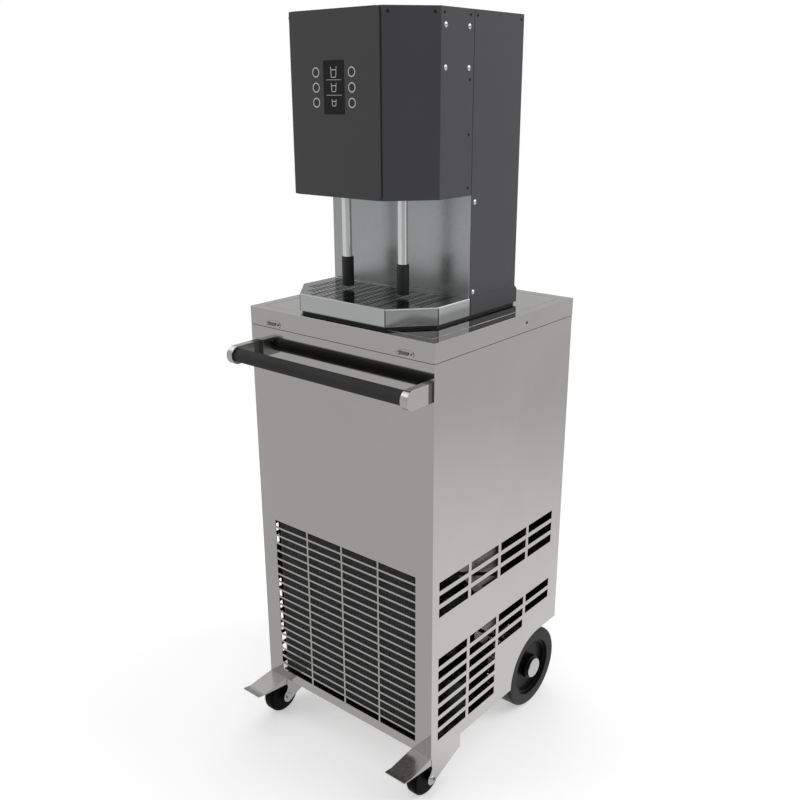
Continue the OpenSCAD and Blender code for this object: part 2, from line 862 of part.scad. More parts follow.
// Front wheel: rounded tread with a long hub that fills the fork
module front_wheel() {
  r = front_wheel_d / 2;
  w = front_wheel_w / 2;
  hub = front_bolt_d;
  hub_w = fork_gap / 2 - loose;
  shoulder = w / 3;
  translate([front_wheel_x, front_axle_y, front_axle_z]) rotate([0, 90, 0]) {
    rotate_extrude() polygon([[front_bolt_d / 2 + fit, -hub_w], [hub, -hub_w], [hub, -w],
      [r - shoulder, -w], [r, shoulder - w], [r, w - shoulder], [r - shoulder, w], [hub, w],
      [hub, hub_w], [front_bolt_d / 2 + fit, hub_w]]);
  }
}

module right_front_wheel() {
  color(rubber) place() front_wheel();
}

module left_front_wheel() {
  color(rubber) place() mirror([1, 0, 0]) front_wheel();
}

// Condenser: finned core between two end plates that stand on the pan
module condenser() {
  core_z = pan_z + sheet_t + condenser_foot;
  end_t = 2 * sheet_t;
  color(dark) place() {
    translate([-condenser_x, condenser_y, core_z]) {
      cube([condenser_w, condenser_t, condenser_top_z - core_z]);
    }
    for (x = [-condenser_x, condenser_x - end_t]) {
      translate([x, condenser_y, pan_z + sheet_t]) cube([end_t, condenser_t, condenser_foot + over]);
    }
  }
}

// Fan shroud: plate with a collar round the fan
module fan_shroud() {
  foot = pan_z + sheet_t;
  plate_h = condenser_top_z - foot;
  color(steel) place() {
    translate([0, shroud_y + sheet_t, foot]) upright(sheet_t) difference() {
      translate([-condenser_x, 0]) square([condenser_w, plate_h]);
      translate([0, fan_z - foot]) circle(shroud_r, $fn = 96);
    }
    translate([0, shroud_y, fan_z]) difference() {
      rod_y(shroud_r + sheet_t, shroud_collar);
      translate([0, -over, 0]) rod_y(shroud_r, shroud_collar + 2 * over);
    }
    for (s = [-1, 1]) translate([s * (condenser_x - sheet_t), shroud_y - shroud_gap, foot]) {
      translate([-sheet_t, 0, 0]) cube([2 * sheet_t, shroud_gap + over / 2, plate_h]);
    }
  }
}

// Fan: hub and tilted blades
module cooling_fan() {
  blade_l = fan_d / 2 - fan_hub_r;
  color(dark) place() translate([0, fan_y - fan_hub_h / 2, fan_z]) {
    difference() {
      union() {
        rod_y(fan_hub_r, fan_hub_h);
        for (i = [0 : fan_blades - 1]) rotate([0, i * 360 / fan_blades, 0]) {
          translate([0, fan_hub_h / 2, fan_hub_r - over]) rotate([0, 0, blade_tilt]) {
            translate([-fan_hub_r, -blade_t / 2, 0]) cube([2 * fan_hub_r, blade_t, blade_l]);
          }
        }
      }
      translate([0, -over, 0]) rod_y(fan_shaft_r + fit, fan_hub_h + 2 * over);
    }
  }
}

// Fan motor on a post that stands on the pan
module fan_motor() {
  foot = pan_z + sheet_t;
  shaft_l = fan_motor_y - fan_y + fan_hub_h / 2;
  color(dark) place() {
    translate([0, fan_motor_y, fan_z]) rod_y(fan_motor_r, fan_motor_l);
    translate([0, fan_motor_y - shaft_l, fan_z]) rod_y(fan_shaft_r, shaft_l + over);
    translate([-post_w / 2, fan_motor_y + fan_motor_l / 2, foot]) {
      cube([post_w, post_t, fan_z - foot - fan_motor_r / 2]);
      translate([0, -fan_motor_l / 2, 0]) cube([post_w, fan_motor_l, post_t]);
    }
  }
}

// Compressor on its plate and four rubber feet
module compressor() {
  r = compressor_d / 2;
  dome = r / 4;
  color(dark) place() translate([compressor_at[0], compressor_at[1], compressor_z]) {
    linear_extrude(2 * sheet_t) square(compressor_plate, center = true);
    translate([0, 0, 2 * sheet_t]) rotate_extrude() {
      polygon([[0, 0], [r - dome, 0], [r, dome], [r, compressor_h - 2 * dome],
        [r - dome, compressor_h - dome / 2], [0, compressor_h]]);
    }
    for (sx = [-1, 1], sy = [-1, 1]) {
      translate([sx * (compressor_plate[0] / 2 - rubber_foot_r),
        sy * (compressor_plate[1] / 2 - rubber_foot_r), -rubber_foot_h]) {
        cylinder(r = rubber_foot_r, h = rubber_foot_h + over / 2);
      }
    }
  }
}

// Cold block bolted to the rear panel
module cold_block() {
  color(alu) place() translate([-block_size[0] / 2, block_y, block_z]) cube(block_size);
}

// Beer lines and cooling circuit
module pipework() {
  block_top = block_z + block_size[2];
  block_mid_y = block_y + block_size[1] / 2;
  block_x = block_size[0] / 2;
  rise_z = block_top + lid_h;
  stem_in_y = back_y - stem_nut_r;
  side_run = side_x - 3 * pipe_d;
  comp_x = compressor_at[0];
  comp_y = compressor_at[1];
  comp_z = compressor_z + compressor_h / 2;
  comp_top = compressor_z + compressor_h;
  gas_z = block_z + block_size[2] / 3;
  cond_mid_y = condenser_y + condenser_t / 2;
  manifold_back = tube_y + manifold_margin;
  color(copper) place() {
    for (s = [-1, 1]) {
      pipe_run([[s * line_x, stem_in_y, stem_z], [s * line_x, block_mid_y, stem_z],
        [s * line_x, block_mid_y, block_z]], line_r);
      pipe_run([[s * line_x, block_mid_y, block_top], [s * line_x, block_mid_y, rise_z],
        [s * line_x, line_y, rise_z], [s * line_x, line_y, manifold_z + manifold_h / 2],
        [s * line_x, manifold_back, manifold_z + manifold_h / 2]], line_r);
    }
    pipe_run([[comp_x + compressor_d / 2, comp_y, comp_z], [side_run, comp_y, comp_z],
      [side_run, cond_mid_y, comp_z], [condenser_x, cond_mid_y, comp_z]], pipe_r);
    pipe_run([[-condenser_x, cond_mid_y, comp_z], [-side_run, cond_mid_y, comp_z],
      [-side_run, cond_mid_y, block_z + pipe_d], [-side_run, block_mid_y, block_z + pipe_d],
      [-block_x, block_mid_y, block_z + pipe_d]], pipe_r);
    pipe_run([[block_x, block_mid_y, gas_z], [block_x + 5 * pipe_d, block_mid_y, gas_z],
      [block_x + 5 * pipe_d, block_mid_y, comp_top + 3 * pipe_d],
      [comp_x, comp_y, comp_top + 3 * pipe_d], [comp_x, comp_y, comp_top + 2 * sheet_t]], pipe_r);
  }
}

// Power inlet: flange, body and three blades in a cavity that opens to the back
module power_inlet() {
  mouth_y = back_y + inlet_flange_t;
  pins = [[-inlet_pin_x, -inlet_pin_z], [inlet_pin_x, -inlet_pin_z], [0, 0]];
  color(dark) place() translate([inlet_x, 0, inlet_z]) {
    difference() {
      union() {
        translate([0, mouth_y, 0]) upright(inlet_flange_t) rounded(inlet_flange, inlet_flange_t);
        translate([0, mouth_y, 0]) upright(inlet_depth) square(inlet_body - [fit, fit], center = true);
      }
      translate([0, mouth_y + over, 0]) upright(inlet_cavity_depth + over) {
        square(inlet_cavity, center = true);
      }
    }
    for (p = pins) translate([p[0], mouth_y - inlet_cavity_depth + inlet_pin_l, p[1]]) {
      upright(inlet_pin_l + over) square(inlet_pin, center = true);
    }
  }
}

// Two connection stems with hexagon collars
module beer_stems() {
  color(bright) place() for (s = [-1, 1]) translate([s * line_x, back_y, stem_z]) {
    rod_y(stem_r, stem_collar_t + stem_len);
    rotate([-90, 0, 0]) cylinder(r = stem_nut_r, h = stem_collar_t, $fn = 6);
    translate([0, -stem_nut_r, 0]) rod_y(stem_r, stem_nut_r + over);
  }
}

// Black plinth between the lid and the tower
module tower_plinth() {
  color(dark) place() translate([0, 0, lid_z]) linear_extrude(plinth_h) difference() {
    polygon(tower_plan(plinth_inset, foot_back_y - plinth_inset));
    translate([0, line_y]) square(lid_passage, center = true);
  }
}

// Foot of the tower: open box with a sloped rear edge
module tower_foot() {
  inner = [tower_w - 2 * foot_wall, column_back_y - foot_front_y - 2 * foot_wall];
  color(charcoal) place() translate([0, 0, foot_z]) {
    difference() {
      translate([-tower_x, foot_front_y, 0]) {
        cube([tower_w, column_back_y - foot_front_y, base_h]);
      }
      translate([-inner[0] / 2, foot_front_y + foot_wall, foot_wall]) {
        cube([inner[0], inner[1], base_h]);
      }
      translate([-lid_passage[0] / 2, line_y - lid_passage[1] / 2, -over]) {
        cube([lid_passage[0], lid_passage[1], base_h]);
      }
    }
    translate([-tower_x, 0, 0]) sideways(tower_w) {
      polygon([[column_back_y, 0], [foot_back_y, 0], [foot_back_y, base_h - foot_slope],
        [column_back_y, base_h]]);
    }
  }
}

// Column: side walls and back as one folded sheet, with flanges that hold the head's walls
module column_shell() {
  h = roof_z - bay_z;
  flange_z = head_z + sheet_t + loose;
  color(charcoal) place() difference() {
    union() {
      difference() {
        translate([-tower_x, wall_y, bay_z]) cube([tower_w, column_back_y - wall_y, h]);
        translate([-inner_x, wall_y - over, bay_z - over]) {
          cube([2 * inner_x, column_back_y - wall_y - sheet_t + over, h + 2 * over]);
        }
      }
      both_sides() translate([inner_x - sheet_t, column_y - flange_l, flange_z]) {
        cube([sheet_t, 2 * flange_l, roof_z - flange_z]);
        translate([0, flange_l + 2 * seam, 0]) {
          cube([1.5 * sheet_t, flange_l - 2 * seam, roof_z - flange_z]);
        }
      }
    }
    dark_screw_places() screw_shank();
    bright_screw_places() screw_shank();
  }
}

// Splash back with side flanges that lie inside the column's walls
module splash_back() {
  low_z = foot_z + tray_h + loose;
  color(bright) place() difference() {
    union() {
      translate([-tower_x, splash_y, low_z]) cube([tower_w, sheet_t, head_z - low_z]);
      both_sides() translate([inner_x - sheet_t, splash_y + sheet_t / 2, bay_z + loose]) {
        cube([sheet_t, flange_l, bay_h - 2 * loose]);
      }
    }
    bright_screw_places() screw_shank();
  }
}

// Head: folded walls with slanted corners, closed by the roof
module head_shell() {
  window = board_size + [window_margin, window_margin];
  color(charcoal) place() {
    difference() {
      translate([0, 0, head_z]) linear_extrude(head_h) polygon(tower_plan(0, column_y));
      translate([0, 0, head_z - over]) linear_extrude(head_h - sheet_t + over) {
        polygon(tower_plan(sheet_t, column_y + over));
      }
      translate([0, tower_y + 2 * sheet_t, middle_z]) upright(3 * sheet_t) {
        square(window, center = true);
      }
      dark_screw_places() screw_shank();
      bright_screw_places() screw_shank();
    }
    translate([-tower_x, column_y - over, roof_z]) {
      cube([tower_w, column_back_y - column_y + over, sheet_t]);
    }
  }
}

// Floor of the head with the two tube holes
module head_floor() {
  color(charcoal) place() translate([0, 0, head_z]) linear_extrude(sheet_t) difference() {
    polygon(tower_plan(sheet_t, column_y));
    for (s = [-1, 1]) translate([s * tube_x, tube_y]) circle(nozzle_hole_r);
  }
}

// Front plate with the button holes, standing off the head on four bosses
module front_plate() {
  boss_inset = 2 * screw_edge;
  color(charcoal) place() {
    translate([0, plate_back_y, head_z]) upright(plate_t) difference() {
      translate([0, head_h / 2]) rounded([plate_w, head_h], plate_r);
      for (s = [-1, 1], dz = button_rise) {
        translate([s * button_x, button_z + dz]) circle(button_d / 2 + button_gap);
      }
    }
    for (s = [-1, 1], z = [boss_inset, head_h - boss_inset]) {
      translate([s * (plate_w / 2 - boss_inset), plate_back_y - plate_t / 2, head_z + z]) {
        rod_y(screw_edge / 2, plate_standoff + plate_t / 2);
      }
    }
  }
}

module size_label() {
  color(dark) place() translate([0, plate_y, middle_z]) upright(label_t) {
    rounded(label_size, label_size[0] / 24);
  }
}

module button_rings() {
  color(bright) place() for (s = [-1, 1], dz = button_rise) {
    translate([s * button_x, plate_y, middle_z + dz]) upright(ring_t) difference() {
      circle(ring_d / 2);
      circle(button_d / 2 + button_gap);
    }
  }
}

// Button: cap, retaining flange behind the plate and a stem to its switch
module button(s, row) {
  front = plate_y - ring_t;
  flange_y = plate_back_y + loose;
  color(charcoal) place() translate([s * button_x, 0, middle_z + button_rise[row]]) {
    translate([0, front, 0]) rod_y(button_d / 2, flange_y - front + flange_t / 2);
    translate([0, flange_y, 0]) rod_y(button_d / 2 + flange_over, flange_t);
    translate([0, flange_y, 0]) rod_y(shank_r, front + button_reach - flange_y);
  }
}

module left_large_button() {
  button(-1, 0);
}

module left_medium_button() {
  button(-1, 1);
}

module left_small_button() {
  button(-1, 2);
}

module right_large_button() {
  button(1, 0);
}

module right_medium_button() {
  button(1, 1);
}

module right_small_button() {
  button(1, 2);
}

// Control board with its switches and four spacers against the front plate
module control_board() {
  spacer = [board_size[0] / 2 - board_margin, board_size[1] / 2 - board_margin];
  switch_w = 1.5 * switch_h;
  color(green) place() translate([0, 0, middle_z]) {
    translate([0, board_y + board_t, 0]) upright(board_t) square(board_size, center = true);
    for (s = [-1, 1], dz = button_rise) translate([s * button_x, board_y, dz]) {
      upright(switch_h) square([switch_w, switch_w], center = true);
    }
    for (sx = [-1, 1], sz = [-1, 1]) translate([sx * spacer[0], plate_back_y, sz * spacer[1]]) {
      rod_y(board_margin / 2, board_y - plate_back_y);
    }
  }
}

// Places of the small dark screws, each looking in along +Y of its own frame
module dark_screw_places() {
  low_z = head_z + screw_edge + plinth_h;
  high_z = top_z - screw_edge;
  corner_y = tower_y + chamfer_d;
  seam_screw_y = column_y - screw_edge - sheet_t;
  for (s = [-1, 1]) {
    for (z = [low_z, low_z + head_row, low_z + 2 * head_row, high_z]) {
      side_screw(s, seam_screw_y, z) children();
    }
    side_screw(s, corner_y + screw_edge, high_z) children();
    side_screw(s, column_y + screw_edge, high_z) children();
    side_screw(s, column_back_y - screw_edge, high_z) children();
    for (share = [0.1, 0.9]) {
      translate([s * (nose_x + share * (tower_x - nose_x)), tower_y + share * chamfer_d, high_z]) {
        rotate([0, 0, s * chamfer_angle]) children();
      }
    }
  }
}

// Places of the bright screws: four on each side of the head, two on each column side
module bright_screw_places() {
  mid_y = (tower_y + chamfer_d + column_y) / 2;
  high_z = top_z - emblem_top;
  for (s = [-1, 1]) {
    for (dy = [-1, 1], z = [high_z, high_z - emblem_side]) {
      side_screw(s, mid_y + dy * emblem_side / 2, z) children();
    }
    for (z = [bay_z + screw_edge, head_z - screw_edge - 2 * sheet_t]) {
      side_screw(s, column_y + screw_edge + 2 * sheet_t, z) children();
    }
  }
}

// One place on a side wall, turned so that +Y points into the wall
module side_screw(s, y, z) {
  translate([s * tower_x, y, z]) rotate([0, 0, s * 90]) children();
}

module screw_shank() {
  translate([0, -over, 0]) rod_y(shank_r + fit, shank_l + over);
}

// Screw with a domed head and a hexagon socket
module screw(r) {
  cap_h = r / 2;
  rod_y(shank_r, shank_l);
  difference() {
    dome(r, cap_h);
    translate([0, -2 * cap_h, 0]) rotate([-90, 0, 0]) {
      cylinder(r = r * socket_share, h = 1.6 * cap_h, $fn = 6);
    }
  }
}

module dark_screws() {
  color(dark) place() {
    dark_screw_places() screw(dark_screw_r);
    for (s = [-1, 1]) lid_screw_at(s) screw(dark_screw_r);
  }
}

module bright_screws() {
  color(bright) place() bright_screw_places() screw(bright_screw_r);
}

// Drip tray: basin with slanted front corners and a ledge for the grate
module drip_tray() {
  rim_y = splash_y - tray_back_rim / 4;
  color(steel) place() difference() {
    translate([0, 0, foot_z]) linear_extrude(tray_h) polygon(tower_plan(0, tray_back_y));
    translate([0, 0, grate_z]) linear_extrude(grate_t + over) {
      polygon(tower_plan(sheet_t, rim_y));
    }
    translate([0, 0, grate_z - ledge_h - over]) linear_extrude(ledge_h + 2 * over) {
      polygon(tower_plan(sheet_t + grate_ledge, rim_y - grate_ledge));
    }
    translate([0, 0, foot_z + sheet_t]) linear_extrude(grate_z - ledge_h - foot_z - sheet_t) {
      polygon(tower_plan(sheet_t, tray_back_y - sheet_t));
    }
  }
}

// Grate: sheet with rows of slots inside the tray's rim
module drip_grate() {
  inset = sheet_t + grate_gap;
  back = splash_y - tray_back_rim / 4 - grate_gap;
  margin = inset + grate_ledge + grate_slot_w;
  mid_y = (tower_y + back) / 2;
  half_cols = floor((tower_x - margin - grate_slot_l / 2) / grate_pitch_x);
  half_rows = floor((back - mid_y - margin) / grate_pitch_y);
  function clear(x, y) =
    abs(x) + grate_slot_l / 2 + margin < nose_x
      + (y - grate_slot_w / 2 - tower_y - margin / 2) * (tower_x - nose_x) / chamfer_d;
  color(bright) place() translate([0, 0, grate_z]) linear_extrude(grate_t) difference() {
    polygon(tower_plan(inset, back));
    for (i = [-half_cols : half_cols], j = [-half_rows : half_rows]) {
      x = i * grate_pitch_x;
      y = mid_y + j * grate_pitch_y;
      if (clear(x, y)) translate([x, y]) square([grate_slot_l, grate_slot_w], center = true);
    }
  }
}

// Manifold under the roof with the fixed feed pipes that reach into the fill tubes
module feed_manifold() {
  pipe_bottom = carriage_z + carriage_h - feed_engage;
  half_w = tube_x + manifold_margin;
  color(bright) place() {
    translate([-half_w, tube_y - manifold_margin, manifold_z]) {
      cube([2 * half_w, 2 * manifold_margin, manifold_h]);
    }
    for (s = [-1, 1]) translate([s * tube_x, tube_y, pipe_bottom]) {
      difference() {
        cylinder(r = feed_r, h = manifold_z - pipe_bottom + over);
        translate([0, 0, -over]) cylinder(r = feed_r - tube_wall, h = feed_engage + over);
      }
    }
  }
}

// Lift motors hung from the roof
module lift_motors() {
  color(dark) place() for (s = [-1, 1]) {
    translate([s * tube_x - motor_side / 2, screw_y - motor_side / 2, motor_z]) {
      cube([motor_side, motor_side, motor_h]);
    }
  }
}

// Lead screw between the head's floor and its motor, with a drive flat on top
module lead_screw(s) {
  low_z = head_z + sheet_t + loose;
  color(bright) place() translate([s * tube_x, screw_y, low_z]) {
    difference() {
      cylinder(r = screw_d / 2, h = motor_z - loose - low_z);
      translate([screw_d / 4, -screw_d, motor_z - low_z - 2 * screw_d]) {
        cube([screw_d, 2 * screw_d, 3 * screw_d]);
      }
    }
  }
}

module left_lead_screw() {
  lead_screw(-1);
}

module right_lead_screw() {
  lead_screw(1);
}

// Carriage: block that grips the fill tube and rides on the lead screw
module carriage(s) {
  tube_wall_y = tube_r + carriage_wall;
  nut_r = screw_d / 2 + carriage_wall;
  color(dark) place() translate([s * tube_x, tube_y, carriage_z]) difference() {
    linear_extrude(carriage_h) difference() {
      union() {
        circle(tube_wall_y);
        translate([-nut_r, 0]) square([2 * nut_r, screw_setback]);
        translate([0, screw_setback]) circle(nut_r);
      }
      circle(tube_r + fit);
      translate([0, screw_setback]) circle(screw_d / 2 + fit);
    }
  }
}

module left_carriage() {
  carriage(-1);
}

module right_carriage() {
  carriage(1);
}

module fill_tube(s) {
  color(bright) place() translate([s * tube_x, tube_y, tube_z]) difference() {
    cylinder(r = tube_r, h = tube_l);
    translate([0, 0, -over]) cylinder(r = tube_r - tube_wall, h = tube_l + 2 * over);
  }
}

module left_fill_tube() {
  fill_tube(-1);
}

module right_fill_tube() {
  fill_tube(1);
}

// Nozzle: thick sleeve below the tube, with softened edges
module nozzle(s) {
  r = nozzle_d / 2;
  bore = tube_r - 2 * tube_wall;
  edge = tube_wall;
  color(dark) place() translate([s * tube_x, tube_y, nozzle_z]) rotate_extrude() {
    polygon([[bore, 0], [r - edge, 0], [r, edge], [r, nozzle_h - edge], [r - edge, nozzle_h],
      [bore, nozzle_h]]);
  }
}

module left_nozzle() {
  nozzle(-1);
}

module right_nozzle() {
  nozzle(1);
}

front_panel();
left_side_panel();
right_side_panel();
rear_panel();
base_pan();
wheel_arches();
step_brackets();
lid();
latch_plates();
left_lid_latch();
right_lid_latch();
handle_frame();
handle_spacers();
handle_grip();
rear_axle();
axle_caps();
left_rear_wheel();
right_rear_wheel();
front_axle_bolts();
left_front_wheel();
right_front_wheel();
condenser();
fan_shroud();
cooling_fan();
fan_motor();
compressor();
cold_block();
pipework();
power_inlet();
beer_stems();
tower_plinth();
tower_foot();
column_shell();
splash_back();
head_shell();
head_floor();
front_plate();
size_label();
button_rings();
left_large_button();
left_medium_button();
left_small_button();
right_large_button();
right_medium_button();
right_small_button();
control_board();
dark_screws();
bright_screws();
drip_tray();
drip_grate();
feed_manifold();
lift_motors();
left_lead_screw();
right_lead_screw();
left_carriage();
right_carriage();
left_fill_tube();
right_fill_tube();
left_nozzle();
right_nozzle();
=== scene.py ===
import json
import math

import bmesh
import bpy
from mathutils import Matrix, Vector


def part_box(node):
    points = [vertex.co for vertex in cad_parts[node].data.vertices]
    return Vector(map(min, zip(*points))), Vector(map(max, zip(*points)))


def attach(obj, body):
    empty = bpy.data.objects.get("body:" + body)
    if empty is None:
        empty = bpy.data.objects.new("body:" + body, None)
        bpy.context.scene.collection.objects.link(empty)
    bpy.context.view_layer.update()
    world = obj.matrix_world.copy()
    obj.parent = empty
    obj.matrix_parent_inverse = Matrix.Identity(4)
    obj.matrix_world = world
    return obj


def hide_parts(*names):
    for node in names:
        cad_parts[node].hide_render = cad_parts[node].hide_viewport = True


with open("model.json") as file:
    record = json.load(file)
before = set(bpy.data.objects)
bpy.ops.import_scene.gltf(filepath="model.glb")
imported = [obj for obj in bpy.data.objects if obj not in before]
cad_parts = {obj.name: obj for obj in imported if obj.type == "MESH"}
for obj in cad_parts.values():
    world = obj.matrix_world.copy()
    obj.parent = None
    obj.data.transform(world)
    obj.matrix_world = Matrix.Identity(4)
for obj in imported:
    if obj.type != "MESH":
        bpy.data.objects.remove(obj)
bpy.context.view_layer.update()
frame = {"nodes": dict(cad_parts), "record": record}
nodes = frame["nodes"]
root = "cabinet_and_tower"
print("frame loaded:", len(nodes), "nodes")


# Small helpers for objects and meshes.

def placed(name, data):
    item = bpy.data.objects.new(name, data)
    bpy.context.scene.collection.objects.link(item)
    return item


def meshFrom(bm, name, outward=False):
    if outward:
        bmesh.ops.recalc_face_normals(bm, faces=bm.faces)
    mesh = bpy.data.meshes.new(name)
    bm.to_mesh(mesh)
    bm.free()
    return mesh


def applyModifiers(piece):
    graph = bpy.context.evaluated_depsgraph_get()
    finished = bpy.data.meshes.new_from_object(piece.evaluated_get(graph))
    piece.modifiers.clear()
    piece.data = finished


def smoothShade(mesh, smoothBelow):
    for face in mesh.polygons:
        face.use_smooth = True
    mesh.set_sharp_from_angle(angle=math.radians(smoothBelow))


def bodyOf(node):
    for body, names in frame["record"]["behaviour"]["bodies"].items():
        if node in names:
            return body
    return root


def setMaterial(piece, material):
    piece.data.materials.clear()
    piece.data.materials.append(material)
    for face in piece.data.polygons:
        face.material_index = 0


# A piece that is not in the CAD, with the body of one node and the finish that it is given.
def addPiece(name, mesh, bodyNode, material):
    piece = placed(name, mesh)
    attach(piece, bodyOf(bodyNode))
    setMaterial(piece, material)


# A piece that takes a CAD node's place.
def standFor(piece, node):
    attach(piece, bodyOf(node))
    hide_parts(node)


# A second finish on the faces that a test picks out, such as painted shade inside a seam or a painted
# highlight on a rim.
def finishFaces(piece, material, picked):
    piece.data.materials.append(material)
    index = len(piece.data.materials) - 1
    count = 0
    for face in piece.data.polygons:
        if picked(face.center, face.normal):
            face.material_index = index
            count += 1
    return count


# Shader groups that several finishes share.

def feed(tree, socket, value):
    if hasattr(value, "is_output"):
        tree.links.new(value, socket)
    else:
        socket.default_value = value


def newGroup(name, inputs, outputs):
    group = bpy.data.node_groups.new(name, "ShaderNodeTree")
    for label, kind, value in inputs:
        group.interface.new_socket(name=label, in_out="INPUT", socket_type=kind).default_value = value
    for label, kind in outputs:
        group.interface.new_socket(name=label, in_out="OUTPUT", socket_type=kind)
    return group, group.nodes.new("NodeGroupInput"), group.nodes.new("NodeGroupOutput")


def mathNode(tree, operation, a, b, clamp=False):
    node = tree.nodes.new("ShaderNodeMath")
    node.operation = operation
    node.use_clamp = clamp
    feed(tree, node.inputs[0], a)
    feed(tree, node.inputs[1], b)
    return node.outputs[0]


def objectPlace(tree):
    return tree.nodes.new("ShaderNodeTexCoord").outputs["Object"]


# A texture node on the given coordinates, with its inputs by name.
def texture(tree, kind, vector, output, **values):
    node = tree.nodes.new(kind)
    tree.links.new(vector, node.inputs["Vector"])
    for label, value in values.items():
        feed(tree, node.inputs[label], value)
    return node.outputs[output]


# One range of values spread over another.
def spreadOver(tree, value, fromLow, fromHigh, toLow=0.0, toHigh=1.0, curve="LINEAR"):
    node = tree.nodes.new("ShaderNodeMapRange")
    node.interpolation_type = curve
    for label, number in (("Value", value), ("From Min", fromLow), ("From Max", fromHigh),
                          ("To Min", toLow), ("To Max", toHigh)):
        feed(tree, node.inputs[label], number)
    return node.outputs["Result"]


patterns = {
    "grain": (0.3, 0.7),  # the part of the noise that the sheen follows
    "patches": (0.32, 0.68), "patchNoise": {"Detail": 5.0, "Roughness": 0.62, "Distortion": 0.6},
    "specks": (0.05, 0.32), "poreNoise": {"Detail": 4.0},
}


# Fine lines left by rolling and brushing: noise stretched along one direction.
def makeGrainGroup():
    group, ins, outs = newGroup(
        "rolledGrain",
        [("Stretch", "NodeSocketVector", (900.0, 900.0, 12.0)), ("Detail", "NodeSocketFloat", 3.0),
         ("Low", "NodeSocketFloat", 0.2), ("High", "NodeSocketFloat", 0.3)],
        [("Height", "NodeSocketFloat"), ("Roughness", "NodeSocketFloat")])
    stretch = group.nodes.new("ShaderNodeVectorMath")
    stretch.operation = "MULTIPLY"
    feed(group, stretch.inputs[0], objectPlace(group))
    feed(group, stretch.inputs[1], ins.outputs["Stretch"])
    noise = texture(group, "ShaderNodeTexNoise", stretch.outputs[0], "Fac", Scale=1.0,
                    Detail=ins.outputs["Detail"])
    sheen = spreadOver(group, noise, *patterns["grain"], ins.outputs["Low"], ins.outputs["High"])
    group.links.new(noise, outs.inputs["Height"])
    group.links.new(sheen, outs.inputs["Roughness"])
    return group


# Broad patches: wiping marks, handling, uneven sheen.
def makePatchGroup():
    group, ins, outs = newGroup(
        "handlingPatches",
        [("Size", "NodeSocketFloat", 6.0), ("Low", "NodeSocketFloat", 0.0), ("High", "NodeSocketFloat", 1.0)],
        [("Value", "NodeSocketFloat")])
    noise = texture(group, "ShaderNodeTexNoise", objectPlace(group), "Fac", Scale=ins.outputs["Size"],
                    **patterns["patchNoise"])
    value = spreadOver(group, noise, *patterns["patches"], ins.outputs["Low"], ins.outputs["High"])
    group.links.new(value, outs.inputs["Value"])
    return group


# Small pores and specks of moulded, coated and cast surfaces.
def makePoreGroup():
    group, ins, outs = newGroup(
        "surfacePores",
        [("Size", "NodeSocketFloat", 900.0), ("Speck Size", "NodeSocketFloat", 260.0)],
        [("Height", "NodeSocketFloat"), ("Specks", "NodeSocketFloat")])
    place = objectPlace(group)
    fine = texture(group, "ShaderNodeTexNoise", place, "Fac", Scale=ins.outputs["Size"],
                   **patterns["poreNoise"])
    speck = texture(group, "ShaderNodeTexVoronoi", place, "Distance", Scale=ins.outputs["Speck Size"])
    group.links.new(fine, outs.inputs["Height"])
    group.links.new(spreadOver(group, speck, *patterns["specks"], 1.0, 0.0), outs.inputs["Specks"])
    return group


rolledGrain = makeGrainGroup()
handlingPatches = makePatchGroup()
surfacePores = makePoreGroup()


# Finishes.

def startMaterial(name, metallic=0.0, roughness=0.5):
    material = bpy.data.materials.new(name)
    material.use_nodes = True
    tree = material.node_tree
    shader = tree.nodes["Principled BSDF"]
    shader.inputs["Metallic"].default_value = metallic
    shader.inputs["Roughness"].default_value = roughness
    return material, tree, shader


def placeGroup(tree, group, **values):
    node = tree.nodes.new("ShaderNodeGroup")
    node.node_tree = group
    for label, value in values.items():
        node.inputs[label.replace("_", " ")].default_value = value
    return node


def addBump(tree, shader, height, strength, distance):
    bump = tree.nodes.new("ShaderNodeBump")
    bump.inputs["Strength"].default_value = strength
    bump.inputs["Distance"].default_value = distance
    tree.links.new(height, bump.inputs["Height"])
    tree.links.new(bump.outputs["Normal"], shader.inputs["Normal"])


def tintByValue(tree, value, dark, light):
    mix = tree.nodes.new("ShaderNodeMix")
    mix.data_type = "RGBA"
    mix.inputs["A"].default_value = (*dark, 1.0)
    mix.inputs["B"].default_value = (*light, 1.0)
    tree.links.new(value, mix.inputs["Factor"])
    return mix.outputs["Result"]


steelRules = {"grainDetail": 3.0, "patchSize": 3.5, "patchSheen": 0.03, "bumpDepth": 0.00004}


# Sheet steel: rolled grain in one direction, wiping marks that change its sheen.
def sheetSteel(name, dark, light, stretch, low, high, bumpStrength):
    material, tree, shader = startMaterial(name, metallic=1.0)
    grain = placeGroup(tree, rolledGrain, Stretch=stretch, Detail=steelRules["grainDetail"],
                       Low=low, High=high)
    patches = placeGroup(tree, handlingPatches, Size=steelRules["patchSize"], Low=0.0, High=1.0)
    tree.links.new(tintByValue(tree, patches.outputs["Value"], dark, light), shader.inputs["Base Color"])
    sheen = mathNode(tree, "MULTIPLY", patches.outputs["Value"], steelRules["patchSheen"])
    tree.links.new(mathNode(tree, "ADD", grain.outputs["Roughness"], sheen), shader.inputs["Roughness"])
    addBump(tree, shader, grain.outputs["Height"], bumpStrength, steelRules["bumpDepth"])
    return material


coatRules = {"speckShare": 0.35, "patchSize": 7.0, "smoother": 0.05, "rougher": 0.07, "poreTone": 0.6}


